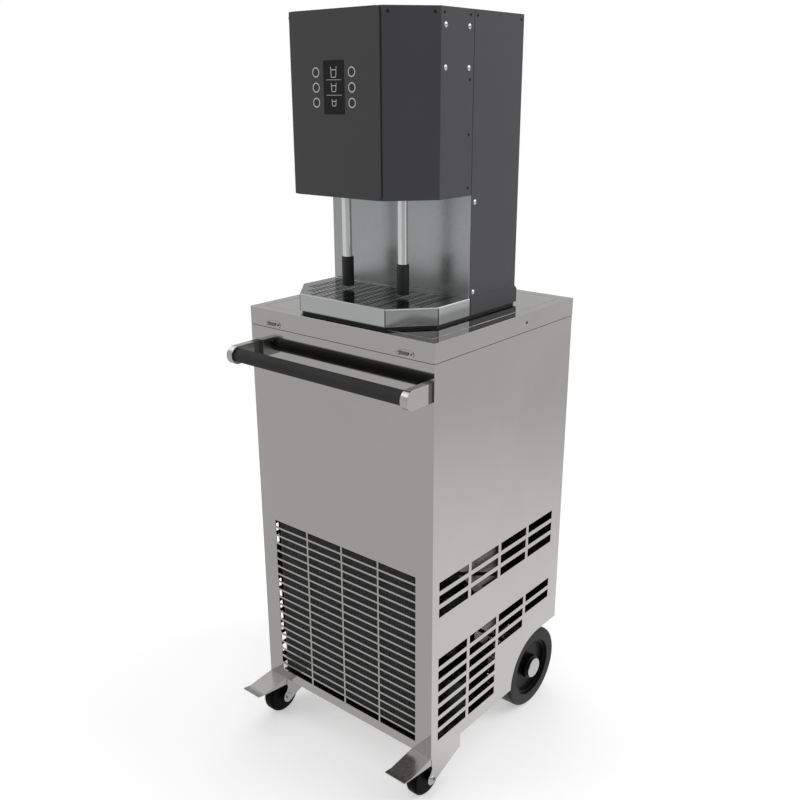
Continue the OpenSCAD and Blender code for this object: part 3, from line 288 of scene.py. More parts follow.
# Powder coat and moulded plastic: pores, specks and a slow change of sheen.
def coatedSurface(name, dark, light, roughness, poreSize, bumpStrength, bumpDepth, specks=0.0, metallic=0.0,
                  gloss=0.5):
    material, tree, shader = startMaterial(name, metallic=metallic)
    shader.inputs["Specular IOR Level"].default_value = gloss
    pores = placeGroup(tree, surfacePores, Size=poreSize, Speck_Size=poreSize * coatRules["speckShare"])
    patches = placeGroup(tree, handlingPatches, Size=coatRules["patchSize"],
                         Low=roughness - coatRules["smoother"], High=roughness + coatRules["rougher"])
    poreTone = mathNode(tree, "MULTIPLY", pores.outputs["Height"], coatRules["poreTone"])
    speckTone = mathNode(tree, "MULTIPLY", pores.outputs["Specks"], specks)
    tone = mathNode(tree, "ADD", speckTone, poreTone, clamp=True)
    tree.links.new(tintByValue(tree, tone, dark, light), shader.inputs["Base Color"])
    tree.links.new(patches.outputs["Value"], shader.inputs["Roughness"])
    addBump(tree, shader, pores.outputs["Height"], bumpStrength, bumpDepth)
    return material


sleeveFoam = {"pores": 900.0, "specks": 420.0, "patches": 18.0, "dark": (0.009, 0.009, 0.010),
              "light": (0.030, 0.029, 0.028), "roughness": 0.92, "speckSheen": 0.15, "bump": (0.5, 0.0005)}


# Black foam sleeve over the cold lines, with open cells and a dusty bloom.
def foamSleeve():
    material, tree, shader = startMaterial("foamSleeve")
    pores = placeGroup(tree, surfacePores, Size=sleeveFoam["pores"], Speck_Size=sleeveFoam["specks"])
    patches = placeGroup(tree, handlingPatches, Size=sleeveFoam["patches"], Low=0.0, High=1.0)
    tone = mathNode(tree, "MULTIPLY", patches.outputs["Value"], pores.outputs["Height"], clamp=True)
    tint = tintByValue(tree, tone, sleeveFoam["dark"], sleeveFoam["light"])
    tree.links.new(tint, shader.inputs["Base Color"])
    sheen = mathNode(tree, "MULTIPLY", pores.outputs["Specks"], sleeveFoam["speckSheen"])
    tree.links.new(mathNode(tree, "SUBTRACT", sleeveFoam["roughness"], sheen), shader.inputs["Roughness"])
    addBump(tree, shader, pores.outputs["Height"], *sleeveFoam["bump"])
    return material


blueLoss = 1.6  # how much more the blue falls than the red rises in a warm grey


def grey(value, warmth=0.0):
    return (value * (1.0 + warmth), value, value * (1.0 - blueLoss * warmth))


upGrain, acrossGrain, allGrain = (700.0, 700.0, 9.0), (9.0, 700.0, 700.0), (500.0, 500.0, 500.0)
tubeGrain, armGrain = (500.0, 500.0, 30.0), (9.0, 9.0, 500.0)

# Darkest and lightest colour, stretch of the grain, smoothest and roughest sheen, strength of the bump.
steels = {
    "panelSteel": (grey(0.475, 0.015), grey(0.505, 0.015), upGrain, 0.045, 0.075, 0.03),
    "lidSteel": (grey(0.475, 0.012), grey(0.505, 0.012), acrossGrain, 0.05, 0.085, 0.03),
    "traySteel": ((0.515, 0.53, 0.53), (0.55, 0.565, 0.565), acrossGrain, 0.13, 0.20, 0.06),
    # a much lighter copy of the tray steel: a painted highlight along the tray's top band
    "rimHighlightSteel": (grey(0.86), grey(0.93), allGrain, 0.10, 0.16, 0.03),
    "grateSteel": (grey(0.19), grey(0.23), acrossGrain, 0.12, 0.20, 0.06),
    # a darker steel than the panels: painted shade on the splash back under the head
    "splashShadeSteel": ((0.43, 0.445, 0.45), (0.47, 0.485, 0.49), allGrain, 0.25, 0.29, 0.03),
    "stepSteel": (grey(0.44, 0.01), grey(0.48, 0.01), allGrain, 0.16, 0.20, 0.015),
    # a darker copy of the step steel: painted shade on the foot plates
    "treadShadeSteel": (grey(0.32, 0.01), grey(0.35, 0.01), allGrain, 0.22, 0.27, 0.01),
    "capSteel": (grey(0.43), grey(0.48), allGrain, 0.12, 0.18, 0.03),
    # also paints shade on the walls of the bolt sockets
    "latchAndSocketShadeSteel": (grey(0.16), grey(0.22), allGrain, 0.20, 0.30, 0.04),
    "brightSteel": (grey(0.66), grey(0.74), allGrain, 0.10, 0.16, 0.04),
    "tubeSteel": (grey(0.80), grey(0.86), tubeGrain, 0.08, 0.13, 0.03),
    "armSteel": (grey(0.52, 0.01), grey(0.56, 0.01), armGrain, 0.20, 0.27, 0.04),
    "screwSteel": (grey(0.78), grey(0.86), allGrain, 0.30, 0.40, 0.08),
}

# Darkest and lightest colour, roughness, pores to a metre, strength and depth of the bump, then what differs.
coats = {
    "charcoalCoat": ((0.054, 0.0525, 0.057), (0.071, 0.069, 0.0755), 0.42, 1400.0, 0.20, 0.0001),
    "frontPlateCoat": (grey(0.037), grey(0.049), 0.38, 1600.0, 0.16, 0.0001),
    "seamShadow": (grey(0.004), grey(0.007), 0.75, 900.0, 0.1, 0.00005),
    "blackPlastic": (grey(0.010), grey(0.020), 0.42, 1100.0, 0.25, 0.00012),
    "spacerPlastic": (grey(0.085), grey(0.115), 0.5, 900.0, 0.25, 0.00012),
    "gripFoam": (grey(0.015), grey(0.033), 0.72, 700.0, 0.55, 0.0004, {"specks": 0.3}),
    "wheelRubber": ((0.009, 0.010, 0.0095), (0.017, 0.0185, 0.018), 0.50, 620.0, 0.30, 0.0002,
                    {"specks": 0.12, "gloss": 0.18}),
    "castorRubber": (grey(0.003), grey(0.005), 0.40, 620.0, 0.2, 0.0002, {"specks": 0.1, "gloss": 0.05}),
    # near-black hub plastic, which also paints shade on the recess walls of the rear wheels
    "hubPlasticAndRecessShade": (grey(0.004), grey(0.008), 0.36, 1100.0, 0.2, 0.0001, {"gloss": 0.08}),
    "buttonPlastic": (grey(0.026), grey(0.034), 0.3, 1500.0, 0.05, 0.00005, {"gloss": 0.35}),
    "labelFilm": (grey(0.012), grey(0.017), 0.4, 1500.0, 0.05, 0.00005, {"gloss": 0.15}),
    "labelPrint": (grey(0.62), grey(0.70), 0.45, 1200.0, 0.05, 0.00003),
    "darkScrewSteel": (grey(0.020), grey(0.034), 0.38, 1500.0, 0.12, 0.0001, {"metallic": 0.6}),
    "blackPaint": (grey(0.008), grey(0.016), 0.34, 500.0, 0.20, 0.0003),
    "finCoat": (grey(0.10), grey(0.22), 0.60, 260.0, 0.35, 0.0004, {"specks": 0.35}),
    "castAluminium": ((0.40, 0.41, 0.42), (0.50, 0.51, 0.52), 0.46, 480.0, 0.45, 0.0005, {"metallic": 1.0}),
    "boardLacquer": ((0.010, 0.060, 0.028), (0.016, 0.090, 0.040), 0.30, 900.0, 0.10, 0.0001),
}

finishes = {name: sheetSteel(name, *values) for name, values in steels.items()}
for name, (dark, light, roughness, pores, strength, depth, *others) in coats.items():
    differing = others[0] if others else {}
    finishes[name] = coatedSurface(name, dark, light, roughness, pores, strength, depth, **differing)
finishes["foamSleeve"] = foamSleeve()
print("finishes made:", len(finishes))


# Which finish each CAD piece gets.

wornBy = {
    "panelSteel": "front_panel left_side_panel right_side_panel rear_panel base_pan wheel_arches fan_shroud",
    "lidSteel": "lid latch_plates",
    "stepSteel": "step_brackets",
    "armSteel": "handle_frame",
    "traySteel": "drip_tray",
    "grateSteel": "drip_grate",
    "splashShadeSteel": "splash_back",
    "screwSteel": "bright_screws",
    "capSteel": "axle_caps front_axle_bolts",
    "brightSteel": "rear_axle beer_stems button_rings feed_manifold left_lead_screw right_lead_screw",
    "tubeSteel": "left_fill_tube right_fill_tube",
    "latchAndSocketShadeSteel": "left_lid_latch right_lid_latch",
    "charcoalCoat": "tower_foot column_shell head_shell head_floor",
    "frontPlateCoat": "front_plate",
    "blackPlastic": "tower_plinth cooling_fan power_inlet left_carriage right_carriage left_nozzle "
                    "right_nozzle",
    "spacerPlastic": "handle_spacers",
    "gripFoam": "handle_grip",
    "wheelRubber": "left_rear_wheel right_rear_wheel",
    "castorRubber": "left_front_wheel right_front_wheel",
    "buttonPlastic": "left_large_button left_medium_button left_small_button right_large_button "
                     "right_medium_button right_small_button",
    "labelFilm": "size_label",
    "darkScrewSteel": "dark_screws",
    "finCoat": "condenser",
    "blackPaint": "compressor fan_motor lift_motors",
    "castAluminium": "cold_block",
    "foamSleeve": "pipework",
    "boardLacquer": "control_board",
}
finishOf = {node: finishes[name] for name, names in wornBy.items() for node in names.split()}
for node, cadPiece in nodes.items():
    setMaterial(cadPiece, finishOf[node])
print("finishes assigned to", len(nodes), "nodes")


# Pieces whose edges and curves are rounded further.

softRules = {"merge": 2e-5, "flat": 0.5, "shortest": 0.0012, "sharpAbove": 32, "segments": 3, "profile": 0.5,
             "cutReach": 1e-6, "smoothBelow": 36}
softWidths = {
    "lid": 0.0012, "handle_frame": 0.0008, "handle_spacers": 0.0005, "handle_grip": 0.0024,
    "tower_plinth": 0.0008, "tower_foot": 0.0008, "head_shell": 0.0010, "column_shell": 0.0008,
    "front_plate": 0.0004, "drip_tray": 0.0009,
    "left_carriage": 0.0010, "right_carriage": 0.0010, "left_nozzle": 0.0006, "right_nozzle": 0.0006,
    "left_fill_tube": 0.0003, "right_fill_tube": 0.0003, "axle_caps": 0.0006, "front_axle_bolts": 0.0004,
    "left_front_wheel": 0.0030, "right_front_wheel": 0.0030, "step_brackets": 0.0004,
    "left_lid_latch": 0.0003, "right_lid_latch": 0.0003, "compressor": 0.0012, "cold_block": 0.0030,
    "power_inlet": 0.0008,
}


# Smooth shading whose big flat faces stay flat, then the copy takes the node's place.
def finishSoft(node, mesh, smoothBelow):
    smoothShade(mesh, smoothBelow)
    piece = placed(node + "Soft", mesh)
    piece.modifiers.new("even normals", "WEIGHTED_NORMAL").keep_sharp = True
    applyModifiers(piece)
    setMaterial(piece, finishOf[node])
    standFor(piece, node)
    return piece


# A folded or moulded copy of a CAD piece: merged, its long edges rounded, its curves smooth.
def softenedCopy(node, width, cuts=()):
    bm = bmesh.new()
    bm.from_mesh(nodes[node].data)
    bmesh.ops.remove_doubles(bm, verts=bm.verts, dist=softRules["merge"])
    bmesh.ops.dissolve_limit(bm, angle_limit=math.radians(softRules["flat"]), verts=bm.verts, edges=bm.edges)
    hard = math.radians(softRules["sharpAbove"])
    chosen = [edge for edge in bm.edges if len(edge.link_faces) == 2
              and edge.calc_face_angle(0.0) > hard and edge.calc_length() >= softRules["shortest"]]
    if chosen:
        bmesh.ops.bevel(bm, geom=chosen, offset=width, offset_type="OFFSET", segments=softRules["segments"],
                        profile=softRules["profile"], affect="EDGES", clamp_overlap=True)
    for place, way in cuts:
        bmesh.ops.bisect_plane(bm, geom=list(bm.verts) + list(bm.edges) + list(bm.faces),
                               dist=softRules["cutReach"], plane_co=place, plane_no=way)
    return finishSoft(node, meshFrom(bm, node + "Soft"), softRules["smoothBelow"])


# The top band of the tray's sides and chamfers is cut apart so that it can take a painted highlight.
trayHighlightBand = {"height": 0.0021, "from": 0.1045, "upwards": -0.1}
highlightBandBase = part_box("drip_tray")[1].z - trayHighlightBand["height"]
highlightBandCuts = [((side * trayHighlightBand["from"], 0.0, 0.0), (1.0, 0.0, 0.0)) for side in (-1, 1)]
highlightBandCuts.append(((0.0, 0.0, highlightBandBase), (0.0, 0.0, 1.0)))
soft = {node: softenedCopy(node, width, highlightBandCuts if node == "drip_tray" else ())
        for node, width in softWidths.items()}
print("rounded", len(soft), "pieces")

lidSeam = {"height": 0.0017, "depth": 0.0001, "reach": 0.0014}
cheekFacing = 0.5  # a face of the steps that points further sideways than this is a cheek
lidLow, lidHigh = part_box("lid")


# Faces inside the lid's groove, which take the seam shadow finish: painted shade in the groove.
def inLidSeam(place, facing):
    inset = min(lidHigh.x - abs(place.x), place.y - lidLow.y, lidHigh.y - place.y)
    return place.z < lidLow.z + lidSeam["height"] and lidSeam["depth"] < inset < lidSeam["reach"]


# Faces of the tray's top band beyond the nose, which take the painted highlight.
def onTrayHighlightBand(place, facing):
    return facing.z > trayHighlightBand["upwards"] and place.z > highlightBandBase and abs(place.x) > trayHighlightBand["from"]


# Faces of the steps that are not cheeks take the darker tread steel: painted shade.
def onShadedTread(place, facing):
    return abs(facing.x) < cheekFacing


for node, finish, picked in (("lid", "seamShadow", inLidSeam), ("drip_tray", "rimHighlightSteel", onTrayHighlightBand),
                             ("step_brackets", "treadShadeSteel", onShadedTread)):
    print(node, "has", finishFaces(soft[node], finishes[finish], picked), "faces in", finish)


# Hexagon sockets sunk into the domes of the front axle bolts; their walls take the darker latch steel,
# painted shade in the sockets.

boltSocket = {"radius": 0.0034, "depth": 0.0024, "corners": 6}


def cutSockets(piece, low, high):
    bm = bmesh.new()
    for reach in (low.x, high.x):
        place = Matrix.Translation((reach, (low.y + high.y) / 2, (low.z + high.z) / 2))
        bmesh.ops.create_cone(bm, cap_ends=True, segments=boltSocket["corners"], radius1=boltSocket["radius"],
                              radius2=boltSocket["radius"], depth=2 * boltSocket["depth"],
                              matrix=place @ Matrix.Rotation(math.pi / 2, 4, "Y"))
    cutter = placed("socketCutter", meshFrom(bm, "socketCutter"))
    # the cut walls take this darker steel: painted shade inside the sockets
    cutter.data.materials.append(finishes["latchAndSocketShadeSteel"])
    cut = piece.modifiers.new("sockets", "BOOLEAN")
    cut.operation, cut.solver, cut.material_mode, cut.object = "DIFFERENCE", "EXACT", "TRANSFER", cutter
    applyModifiers(piece)
    bpy.data.objects.remove(cutter)


cutSockets(soft["front_axle_bolts"], *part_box("front_axle_bolts"))
print("bolt sockets cut:", len(soft["front_axle_bolts"].data.polygons), "faces")


# Rear wheels: turned tyre with a stepped recess and a hub boss.

rearWheel = {
    "segments": 96, "bore": 0.00805, "halfWidth": 0.020, "radius": 0.090,
    # radius, and the share of the half width, from the hub to the tyre
    "profile": [(0.0258, 1.0), (0.0268, 0.95), (0.0268, 0.42), (0.0285, 0.38), (0.0545, 0.38),
                (0.0555, 0.42), (0.0560, 0.66), (0.0566, 0.70), (0.0612, 0.70), (0.0620, 0.73),
                (0.0632, 0.97), (0.0642, 1.0)],
    "shoulder": 0.0060, "steps": 6, "hubAndRecessShadeReach": 0.0628, "smoothBelow": 34,
}


def turnedWheel(node):
    low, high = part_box(node)
    centre = (low + high) / 2
    half, radius, shoulder = (rearWheel[key] for key in ("halfWidth", "radius", "shoulder"))
    outer = [(rearWheel["bore"], half)] + [(r, share * half) for r, share in rearWheel["profile"]]
    for step in range(rearWheel["steps"] + 1):
        turn = math.pi / 2 * step / rearWheel["steps"]
        outer.append((radius - shoulder * (1 - math.sin(turn)), half - shoulder * (1 - math.cos(turn))))
    ring = outer + [(r, -x) for r, x in reversed(outer)]
    bm = bmesh.new()
    count = rearWheel["segments"]
    loops = []
    for index in range(count):
        angle = 2 * math.pi * index / count
        ahead, up = math.cos(angle), math.sin(angle)
        loops.append([bm.verts.new((centre.x + x, centre.y + r * ahead, centre.z + r * up)) for r, x in ring])
    for index in range(count):
        one, two = loops[index], loops[(index + 1) % count]
        for spot in range(len(ring)):
            following = (spot + 1) % len(ring)
            bm.faces.new((one[spot], one[following], two[following], two[spot]))
    wheel = finishSoft(node, meshFrom(bm, node + "Soft", outward=True), rearWheel["smoothBelow"])
    # The hub and the walls of the recess take the near-black plastic: partly a real plastic hub, partly
    # painted shade in the recess.
    finishFaces(wheel, finishes["hubPlasticAndRecessShade"], lambda place, facing:
                math.hypot(place.y - centre.y, place.z - centre.z) < rearWheel["hubAndRecessShadeReach"])


for node in ("left_rear_wheel", "right_rear_wheel"):
    turnedWheel(node)
print("rear wheels turned")


# Dark seams at the folded corners of the drip tray and the lid: thin dark prisms in the seam shadow finish,
# painted shade in the joints.

seams = {
    "drip_tray": {"wide": 0.0010, "proud": 0.00008, "sink": 0.0006, "lowGap": 0.0, "topGap": 0.0018,
                  "outline": [(-0.1655, -0.0205), (-0.1655, -0.1135), (-0.1040, -0.1843), (0.1040, -0.1843),
                              (0.1655, -0.1135), (0.1655, -0.0205)]},
    "lid": {"wide": 0.0008, "proud": -0.0002, "sink": 0.0010, "lowGap": 0.0020, "topGap": 0.0016,
            "outline": [(-0.2250, 0.2495), (-0.2250, -0.2005), (0.2250, -0.2005), (0.2250, 0.2495)]},
}


# A closed form between two rings of points of the same count.
def addPrism(bm, first, second):
    ends = [[bm.verts.new(point) for point in ring] for ring in (first, second)]
    count = len(first)
    bm.faces.new(ends[0])
    bm.faces.new(list(reversed(ends[1])))
    for index in range(count):
        following = (index + 1) % count
        bm.faces.new((ends[0][following], ends[0][index], ends[1][index], ends[1][following]))


def makeSeamShades(node):
    sizes = seams[node]
    outline, wide = sizes["outline"], sizes["wide"]
    low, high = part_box(node)
    bm = bmesh.new()
    for index in range(1, len(outline) - 1):
        corner = Vector(outline[index])
        before = (Vector(outline[index - 1]) - corner).normalized()
        after = (Vector(outline[index + 1]) - corner).normalized()
        outward = -(before + after).normalized()
        outer = corner + outward * sizes["proud"]
        points = [outer + before * wide, outer, outer + after * wide, corner - outward * sizes["sink"]]
        addPrism(bm, *([(point.x, point.y, height) for point in points]
                       for height in (low.z + sizes["lowGap"], high.z - sizes["topGap"])))
    addPiece(node + "SeamShades", meshFrom(bm, node + "SeamShades", outward=True), node,
             finishes["seamShadow"])


for node in seams:
    makeSeamShades(node)
print("corner seams made")


# Geometry Nodes helpers.

def newTree(name, inputs):
    tree = bpy.data.node_groups.new(name, "GeometryNodeTree")
    tree.interface.new_socket(name="Geometry", in_out="INPUT", socket_type="NodeSocketGeometry")
    for label, kind, value in inputs:
        socket = tree.interface.new_socket(name=label, in_out="INPUT", socket_type="NodeSocket" + kind)
        if value is not None:
            socket.default_value = value
    tree.interface.new_socket(name="Geometry", in_out="OUTPUT", socket_type="NodeSocketGeometry")
    return tree, tree.nodes.new("NodeGroupInput").outputs, tree.nodes.new("NodeGroupOutput").inputs


# A node with its settings by name and its inputs from the dictionary; the answer is its outputs.
def addNode(tree, kind, sources=None, **settings):
    node = tree.nodes.new(kind)
    for key, value in settings.items():
        setattr(node, key, value)
    for label, source in (sources or {}).items():
        for each in source if isinstance(source, list) else [source]:
            feed(tree, node.inputs[label], each)
    return node.outputs


def moved(tree, geometry, vector):
    return addNode(tree, "GeometryNodeTransform", {"Geometry": geometry, "Translation": vector})[0]


def joined(tree, parts):
    return addNode(tree, "GeometryNodeJoinGeometry", {"Geometry": parts})[0]


def dressed(tree, geometry, finish):
    real = addNode(tree, "GeometryNodeRealizeInstances", {"Geometry": geometry})[0]
    return addNode(tree, "GeometryNodeSetMaterial", {"Geometry": real, "Material": finish})[0]


def treeMath(tree, operation, a, b):
    return addNode(tree, "ShaderNodeMath", {0: a, 1: b}, operation=operation)[0]


def treeVector(tree, x=0.0, y=0.0, z=0.0):
    return addNode(tree, "ShaderNodeCombineXYZ", {"X": x, "Y": y, "Z": z})[0]


# The tree's result as a plain mesh piece that stands for a CAD node.
def bakeTree(tree, values, points, name, node):
    mesh = bpy.data.meshes.new(name + "Points")
    mesh.from_pydata([place for place, facing in points], [], [])
    facings = mesh.attributes.new("facing", "FLOAT_VECTOR", "POINT")
    for index, (place, facing) in enumerate(points):
        facings.data[index].vector = facing
    carrier = placed(name, mesh)
    modifier = carrier.modifiers.new(name, "NODES")
    modifier.node_group = tree
    identifiers = {item.name: item.identifier for item in tree.interface.items_tree if item.in_out == "INPUT"}
    for label, value in values.items():
        modifier[identifiers[label]] = value
    applyModifiers(carrier)
    carrier.data.name = name
    standFor(carrier, node)
    print(name, "made with", len(carrier.data.polygons), "faces")
    return carrier


# Screws with domed heads and hexagon sockets, one on each CAD screw.

screwSizes = {
    "dark_screws": {"radius": 0.0032, "cap": 0.0016, "finish": "darkScrewSteel"},
    "bright_screws": {"radius": 0.0048, "cap": 0.0024, "finish": "screwSteel"},
    "shank": 0.0020, "shankLength": 0.0050, "socketShare": 0.36, "socketDepth": 0.8,
    "around": 28, "rings": 6, "tip": 0.0001, "base": 0.00001, "shankAround": 12, "smoothBelow": 38,
    "merge": 1e-5, "sideFace": 0.1650, "chamferNormal": (0.755, -0.656, 0.0),
}


def screwTree():
    tree, given, outs = newTree("domedScrews", [
        ("Radius", "Float", 0.0032), ("Cap", "Float", 0.0016), ("Socket", "Float", 0.0013),
        ("Socket Depth", "Float", 0.0012), ("Shank", "Float", 0.002), ("Shank Length", "Float", 0.005),
        ("Finish", "Material", None)])
    head = addNode(tree, "GeometryNodeMeshCone", {
        "Vertices": screwSizes["around"], "Side Segments": screwSizes["rings"],
        "Radius Top": screwSizes["tip"], "Radius Bottom": given["Radius"], "Depth": given["Cap"]})
    split = addNode(tree, "ShaderNodeSeparateXYZ", {"Vector": addNode(tree, "GeometryNodeInputPosition")[0]})
    flat = treeVector(tree, split["X"], split["Y"])
    length = addNode(tree, "ShaderNodeVectorMath", {0: flat}, operation="LENGTH")
    share = treeMath(tree, "DIVIDE", length["Value"], given["Radius"])
    fall = treeMath(tree, "SUBTRACT", 1.0, treeMath(tree, "POWER", share, 2.0))
    height = treeMath(tree, "MULTIPLY", fall, given["Cap"])
    above = addNode(tree, "FunctionNodeCompare", {"A": split["Z"], "B": screwSizes["base"]},
                    data_type="FLOAT", operation="GREATER_THAN")
    dome = addNode(tree, "GeometryNodeSetPosition", {
        "Geometry": head["Mesh"], "Position": treeVector(tree, split["X"], split["Y"], height),
        "Selection": above[0]})
    socket = addNode(tree, "GeometryNodeMeshCylinder", {
        "Vertices": boltSocket["corners"], "Radius": given["Socket"], "Depth": given["Socket Depth"]})
    cutter = moved(tree, socket["Mesh"], treeVector(tree, z=given["Cap"]))
    carved = addNode(tree, "GeometryNodeMeshBoolean", {"Mesh 1": dome[0], "Mesh 2": cutter},
                     operation="DIFFERENCE")
    shank = addNode(tree, "GeometryNodeMeshCylinder", {
        "Vertices": screwSizes["shankAround"], "Radius": given["Shank"], "Depth": given["Shank Length"]})
    drop = treeVector(tree, z=treeMath(tree, "MULTIPLY", given["Shank Length"], -0.5))
    whole = joined(tree, [carved["Mesh"], moved(tree, shank["Mesh"], drop)])
    facing = addNode(tree, "GeometryNodeInputNamedAttribute", {"Name": "facing"}, data_type="FLOAT_VECTOR")
    turn = addNode(tree, "FunctionNodeAlignRotationToVector", {"Vector": facing["Attribute"]}, axis="Z")
    spread = addNode(tree, "GeometryNodeInstanceOnPoints", {
        "Points": given["Geometry"], "Instance": whole, "Rotation": turn[0]})
    feed(tree, outs["Geometry"], dressed(tree, spread[0], given["Finish"]))
    return tree


# Where each CAD screw stands: the centre of its head on the sheet, and the way it faces.
def screwPlaces(node, cap):
    bm = bmesh.new()
    bm.from_mesh(nodes[node].data)
    bmesh.ops.remove_doubles(bm, verts=bm.verts, dist=screwSizes["merge"])
    left = set(bm.verts)
    places = []
    while left:
        seed = min(left, key=lambda vert: vert.index)
        island, todo = {seed}, [seed]
        while todo:
            for edge in todo.pop().link_edges:
                for vert in edge.verts:
                    if vert not in island:
                        island.add(vert)
                        todo.append(vert)
        left -= island
        low = Vector([min(vert.co[axis] for vert in island) for axis in range(3)])
        high = Vector([max(vert.co[axis] for vert in island) for axis in range(3)])
        middle = (low + high) / 2
        side = 1.0 if middle.x > 0 else -1.0
        facing = Vector((side, 0.0, 0.0))
        if max(abs(high.x), abs(low.x)) < screwSizes["sideFace"]:
            facing = Vector(screwSizes["chamferNormal"])
            facing.x *= side
        across = Vector((0.0, 0.0, 1.0)).cross(facing)
        top = max(vert.co.dot(facing) for vert in island)
        sideways = [vert.co.dot(across) for vert in island]
        spot = facing * (top - cap) + across * ((min(sideways) + max(sideways)) / 2)
        places.append(((spot.x, spot.y, middle.z), facing))
    bm.free()
    return places


screws = screwTree()
for node in ("dark_screws", "bright_screws"):
    size = screwSizes[node]
    radius, cap = size["radius"], size["cap"]
    domed = bakeTree(screws, {
        "Radius": radius, "Cap": cap, "Socket": radius * screwSizes["socketShare"],
        "Socket Depth": cap * 2 * screwSizes["socketDepth"], "Shank": screwSizes["shank"],
        "Shank Length": screwSizes["shankLength"], "Finish": finishes[size["finish"]],
    }, screwPlaces(node, cap), node + "Domed", node)
    smoothShade(domed.data, screwSizes["smoothBelow"])


# Condenser: a pack of thin fins with tubes through them and two end plates.

condenserSizes = {"Fin Pitch": 0.0040, "Fin Thickness": 0.0005, "End Thickness": 0.0030, "Foot": 0.0100,
                  "Tube Radius": 0.0046, "Rows": 14, "Tube Inset": 0.0100, "Edge Inset": 0.0010}
tubeAround = 14


def condenserTree():
    tree, given, outs = newTree("finPack", [
        ("Low", "Vector", (0.0, 0.0, 0.0)), ("Size", "Vector", (0.3, 0.03, 0.3)),
        ("Fin Pitch", "Float", 0.004), ("Fin Thickness", "Float", 0.0005), ("End Thickness", "Float", 0.003),
        ("Foot", "Float", 0.006), ("Tube Radius", "Float", 0.0046), ("Rows", "Int", 14),
        ("Tube Inset", "Float", 0.01), ("Edge Inset", "Float", 0.001),
        ("Fins", "Material", None), ("Tubes", "Material", None)])

    def plus(a, b):
        return treeMath(tree, "ADD", a, b)

    def minus(a, b):
        return treeMath(tree, "SUBTRACT", a, b)

    def times(a, b):
        return treeMath(tree, "MULTIPLY", a, b)

    def row(count, start, step):
        sources = {"Count": count, "Start Location": start, "Offset": step}
        return addNode(tree, "GeometryNodeMeshLine", sources, mode="OFFSET")[0]

    def block(x, y, z):
        return addNode(tree, "GeometryNodeMeshCube", {"Size": treeVector(tree, x, y, z)})["Mesh"]

    def spread(points, instance, **turn):
        sources = {"Points": points, "Instance": instance, **turn}
        return addNode(tree, "GeometryNodeInstanceOnPoints", sources)[0]

    size = addNode(tree, "ShaderNodeSeparateXYZ", {"Vector": given["Size"]})
    low = addNode(tree, "ShaderNodeSeparateXYZ", {"Vector": given["Low"]})
    wide, deep, tall, end = size["X"], size["Y"], size["Z"], given["End Thickness"]
    coreLow, coreTall = plus(low["Z"], given["Foot"]), minus(tall, given["Foot"])
    middleX, middleY = plus(low["X"], times(wide, 0.5)), plus(low["Y"], times(deep, 0.5))
    inner = minus(wide, times(end, 2.0))
    edges = times(given["Edge Inset"], 2.0)
    fin = block(given["Fin Thickness"], minus(deep, edges), minus(coreTall, edges))
    firstFin = plus(low["X"], plus(end, times(given["Fin Pitch"], 0.5)))
    finStart = treeVector(tree, firstFin, middleY, plus(coreLow, times(coreTall, 0.5)))
    finShare = treeMath(tree, "DIVIDE", inner, given["Fin Pitch"])
    finCount = addNode(tree, "FunctionNodeFloatToInt", {0: finShare})[0]
    fins = spread(row(finCount, finStart, treeVector(tree, given["Fin Pitch"])), fin)
    plateStart = treeVector(tree, plus(low["X"], times(end, 0.5)), middleY, plus(low["Z"], times(tall, 0.5)))
    plates = spread(row(2, plateStart, treeVector(tree, minus(wide, end))), block(end, deep, tall))
    tube = addNode(tree, "GeometryNodeMeshCylinder", {
        "Vertices": tubeAround, "Radius": given["Tube Radius"], "Depth": inner})["Mesh"]
    rowStep = treeMath(tree, "DIVIDE", coreTall, given["Rows"])
    tubeStart = plus(coreLow, times(rowStep, 0.5))
    banks = [spread(row(given["Rows"], treeVector(tree, middleX, plus(low["Y"], inset), tubeStart),
                        treeVector(tree, z=rowStep)), tube, Rotation=(0.0, math.pi / 2, 0.0))
             for inset in (given["Tube Inset"], minus(deep, given["Tube Inset"]))]
    feed(tree, outs["Geometry"], joined(tree, [dressed(tree, joined(tree, [plates, fins]), given["Fins"]),
                                               dressed(tree, joined(tree, banks), given["Tubes"])]))
    return tree


condenserLow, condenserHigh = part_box("condenser")
bakeTree(condenserTree(), {
    "Low": tuple(condenserLow), "Size": tuple(condenserHigh - condenserLow), **condenserSizes,
    "Fins": finishes["finCoat"], "Tubes": finishes["foamSleeve"],
}, [((0.0, 0.0, 0.0), (0.0, 0.0, 1.0))], "condenserFins", "condenser")


# Printed marks on the size label: a drinking glass for each size and two dividing lines.

labelMarks = {
    "proud": 0.0001, "sink": 0.00005, "stroke": 0.0011, "lineWidth": 0.0340, "lineThick": 0.0006,
    "foam": 0.28,
    # height of the glass, half its width at the rim and at the foot
    "glasses": {"large": (0.0160, 0.0064, 0.0050), "medium": (0.0128, 0.0056, 0.0044),
                "small": (0.0100, 0.0048, 0.0038)},
}


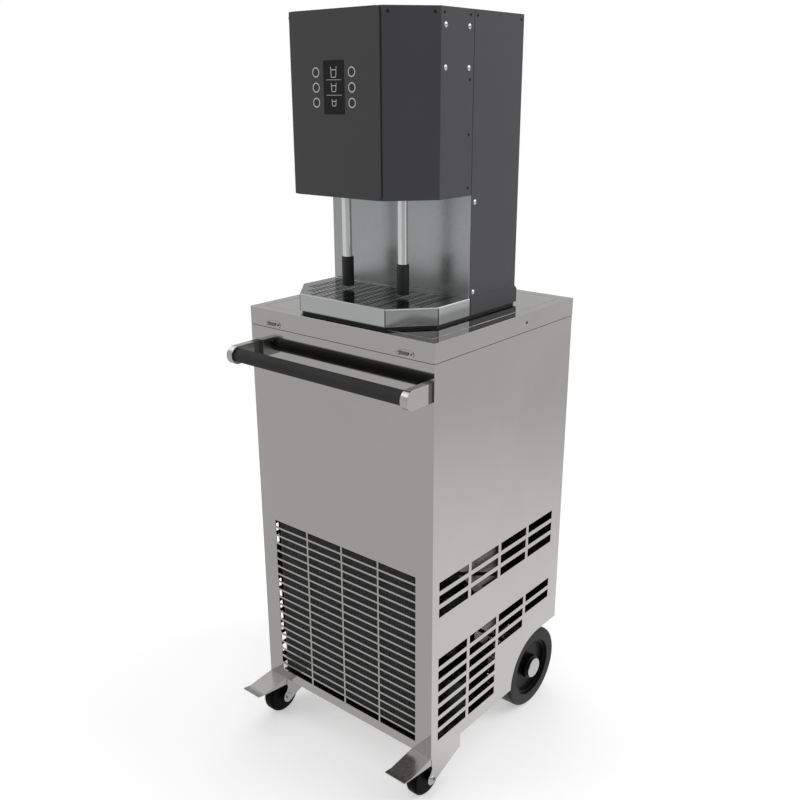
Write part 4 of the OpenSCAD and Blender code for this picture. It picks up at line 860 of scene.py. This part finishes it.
def makeLabelMarks():
    low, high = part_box("size_label")
    frontY, backY = low.y - labelMarks["proud"], low.y + labelMarks["sink"]
    middle = (low.x + high.x) / 2
    bm = bmesh.new()

    def stroke(start, finish, width):
        along = Vector((finish[0] - start[0], finish[1] - start[1]))
        along.normalize()
        side = Vector((-along.y, along.x)) * width / 2
        reach = along * width / 2
        a, b = Vector(start) - reach, Vector(finish) + reach
        outline = [a - side, b - side, b + side, a + side]
        addPrism(bm, *([(x, y, z) for x, z in outline] for y in (frontY, backY)))

    aboveZ = None
    for name, (height, topHalf, baseHalf) in labelMarks["glasses"].items():
        lowest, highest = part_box("left_%s_button" % name)
        centre = (lowest.z + highest.z) / 2
        top, base = centre + height / 2, centre - height / 2
        beer = top - height * labelMarks["foam"]
        wide = labelMarks["stroke"]
        beerHalf = topHalf + (baseHalf - topHalf) * labelMarks["foam"]
        for side in (-1, 1):
            stroke((middle + side * topHalf, top), (middle + side * baseHalf, base), wide)
        stroke((middle - baseHalf, base), (middle + baseHalf, base), wide)
        stroke((middle - beerHalf, beer), (middle + beerHalf, beer), wide)
        if aboveZ is not None:
            lineZ = (centre + aboveZ) / 2
            half = labelMarks["lineWidth"] / 2
            stroke((middle - half, lineZ), (middle + half, lineZ), labelMarks["lineThick"])
        aboveZ = centre
    addPiece("labelMarks", meshFrom(bm, "labelMarks", outward=True), "size_label",
             finishes["labelPrint"])


makeLabelMarks()
print("label marks made")


# Camera, floor and light.

cameraSet = {"lens": 41.11, "sensor": 36.0, "farthest": 60.0, "place": (1.1063, -1.3430, 1.3068),
             "yaw": -39.91, "pitch": 18.70, "roll": -0.23}


def makeCamera():
    yaw, pitch, roll = (math.radians(cameraSet[key]) for key in ("yaw", "pitch", "roll"))
    forward = Vector((math.sin(yaw) * math.cos(pitch), math.cos(yaw) * math.cos(pitch), -math.sin(pitch)))
    level = Vector((math.cos(yaw), -math.sin(yaw), 0.0))
    upright = level.cross(forward)
    across = math.cos(roll) * level + math.sin(roll) * upright
    over = -math.sin(roll) * level + math.cos(roll) * upright
    data = bpy.data.cameras.new("photoCamera")
    data.lens, data.sensor_width, data.clip_end = (cameraSet[key] for key in ("lens", "sensor", "farthest"))
    camera = placed("photoCamera", data)
    turn = Matrix((across, over, -forward)).transposed()
    camera.matrix_world = Matrix.Translation(cameraSet["place"]) @ turn.to_4x4()
    bpy.context.scene.camera = camera


# What mirrors see: a dim side where the camera stands, a glow high on the left, a card high on the right, and
# a floor that is paler to the left front and the right back.
mirrored = {
    "sky": 0.57, "dimWay": (0.82, -0.57, 0.0), "dim": 0.20, "dimRamp": (0.35, 0.80),
    "glowWay": (-0.93, -0.37, 0.0), "glow": 1.7, "glowSide": (0.25, 0.45), "glowHigh": (0.50, 0.60),
    "cardWay": (0.80, 0.25, 0.55), "card": 2.0, "cardSide": (0.66, 0.76), "cardHigh": (0.30, 0.40),
    "zenith": 0.12, "zenithHigh": (0.78, 0.83),
    "floor": 0.63, "floorWay": (0.64, 0.77, 0.0), "floorBlend": (-0.1, 0.5), "floorReach": (0.35, 2.6),
    "floorTones": (1.01, 0.665), "floorDim": 0.42, "floorDimRamp": (0.60, 0.92), "floorDimReach": (0.9, 2.0),
}
studio = {
    "diffuse": 0.50, "floorSize": 24.0, "lift": 0.40, "fade": (0.9, 2.4), "aim": (0.0, 0.0, 0.7),
    "paper": 0.82, "paperStep": 0.01, "paperPatch": 0.8, "paperRough": 0.9, "paperGloss": 0.1,
    # place, width and power of each soft light
    "key": ((2.6, 2.0, 2.6), 2.4, 46.0), "fill": ((-2.4, -2.6, 2.2), 2.2, 26.0),
    "top": ((-0.6, 0.4, 3.6), 2.6, 24.0),
}


def ramp(tree, value, limits, tones=(0.0, 1.0)):
    return spreadOver(tree, value, *limits, *tones, curve="SMOOTHSTEP")


def mixValue(tree, factor, a, b):
    node = tree.nodes.new("ShaderNodeMix")
    node.data_type = "FLOAT"
    for label, value in (("Factor", factor), ("A", a), ("B", b)):
        feed(tree, node.inputs[label], value)
    return node.outputs["Result"]


def vectorNode(tree, operation, output, *values):
    node = tree.nodes.new("ShaderNodeVectorMath")
    node.operation = operation
    for index, value in enumerate(values):
        feed(tree, node.inputs[index], value)
    return node.outputs[output]


def towards(tree, vector, way):
    return vectorNode(tree, "DOT_PRODUCT", "Value", vector, way)


def glowing(tree, strength):
    node = tree.nodes.new("ShaderNodeEmission")
    feed(tree, node.inputs["Strength"], strength)
    return node.outputs[0]


def joinShaders(tree, kind, *sources):
    node = tree.nodes.new(kind)
    for index, source in enumerate(sources):
        feed(tree, node.inputs[index], source)
    return node.outputs[0]


def makeWorld():
    world = bpy.data.worlds.new("studioLight")
    world.use_nodes = True
    tree = world.node_tree
    back = tree.nodes["Background"]
    ray = tree.nodes.new("ShaderNodeLightPath").outputs
    way = tree.nodes.new("ShaderNodeTexCoord").outputs["Generated"]
    up = towards(tree, way, (0.0, 0.0, 1.0))
    dim = ramp(tree, towards(tree, way, mirrored["dimWay"]), mirrored["dimRamp"])
    tone = mixValue(tree, dim, mirrored["sky"], mirrored["dim"])
    for name in ("glow", "card"):
        side = ramp(tree, towards(tree, way, mirrored[name + "Way"]), mirrored[name + "Side"])
        high = ramp(tree, up, mirrored[name + "High"])
        tone = mixValue(tree, mathNode(tree, "MULTIPLY", side, high), tone, mirrored[name])
    tone = mixValue(tree, ramp(tree, up, mirrored["zenithHigh"]), tone, mirrored["zenith"])
    tone = mixValue(tree, ray["Is Glossy Ray"], studio["diffuse"], tone)
    feed(tree, back.inputs["Strength"], mixValue(tree, ray["Is Camera Ray"], tone, 1.0))
    back.inputs["Color"].default_value = (1.0, 1.0, 1.0, 1.0)
    bpy.context.scene.world = world


def makeFloor():
    half = studio["floorSize"] / 2
    mesh = bpy.data.meshes.new("studioFloor")
    mesh.from_pydata([(-half, -half, 0.0), (half, -half, 0.0), (half, half, 0.0), (-half, half, 0.0)], [],
                     [(0, 1, 2, 3)])
    floor = placed("studioFloor", mesh)
    material, tree, shader = startMaterial("studioPaper", roughness=studio["paperRough"])
    patches = placeGroup(tree, handlingPatches, Size=studio["paperPatch"], Low=0.0, High=1.0)
    tones = grey(studio["paper"]), grey(studio["paper"] + studio["paperStep"])
    tree.links.new(tintByValue(tree, patches.outputs["Value"], *tones), shader.inputs["Base Color"])
    shader.inputs["Specular IOR Level"].default_value = studio["paperGloss"]
    ray = tree.nodes.new("ShaderNodeLightPath").outputs
    place = objectPlace(tree)
    away, way = vectorNode(tree, "LENGTH", "Value", place), vectorNode(tree, "NORMALIZE", "Vector", place)
    side = ramp(tree, towards(tree, way, mirrored["floorWay"]), mirrored["floorBlend"])
    sideTone = ramp(tree, away, mirrored["floorReach"], mirrored["floorTones"])
    tone = mixValue(tree, side, mirrored["floor"], sideTone)
    dim = ramp(tree, towards(tree, way, mirrored["dimWay"]), mirrored["floorDimRamp"])
    far = ramp(tree, towards(tree, place, mirrored["dimWay"]), mirrored["floorDimReach"])
    tone = mixValue(tree, mathNode(tree, "MULTIPLY", dim, far), tone, mirrored["floorDim"])
    lift = glowing(tree, mathNode(tree, "MULTIPLY", ray["Is Camera Ray"], studio["lift"]))
    lifted = joinShaders(tree, "ShaderNodeAddShader", shader.outputs[0], lift)
    fade = mathNode(tree, "MULTIPLY", ramp(tree, away, studio["fade"]), ray["Is Camera Ray"])
    seen = joinShaders(tree, "ShaderNodeMixShader", fade, lifted, glowing(tree, 1.0))
    whole = joinShaders(tree, "ShaderNodeMixShader", ray["Is Glossy Ray"], seen, glowing(tree, tone))
    feed(tree, tree.nodes["Material Output"].inputs["Surface"], whole)
    setMaterial(floor, material)


def makeLamps():
    for name in ("key", "fill", "top"):
        place, size, power = studio[name]
        light = bpy.data.lights.new(name + "Panel", "AREA")
        light.energy, light.size = power, size
        lamp = placed(name + "Panel", light)
        lamp.location = place
        lamp.rotation_euler = (Vector(studio["aim"]) - Vector(place)).to_track_quat("-Z", "Y").to_euler()
        lamp.visible_glossy = False


makeCamera()
makeWorld()
makeFloor()
makeLamps()
bpy.context.scene.view_settings.view_transform = "Standard"
print("camera and studio set")
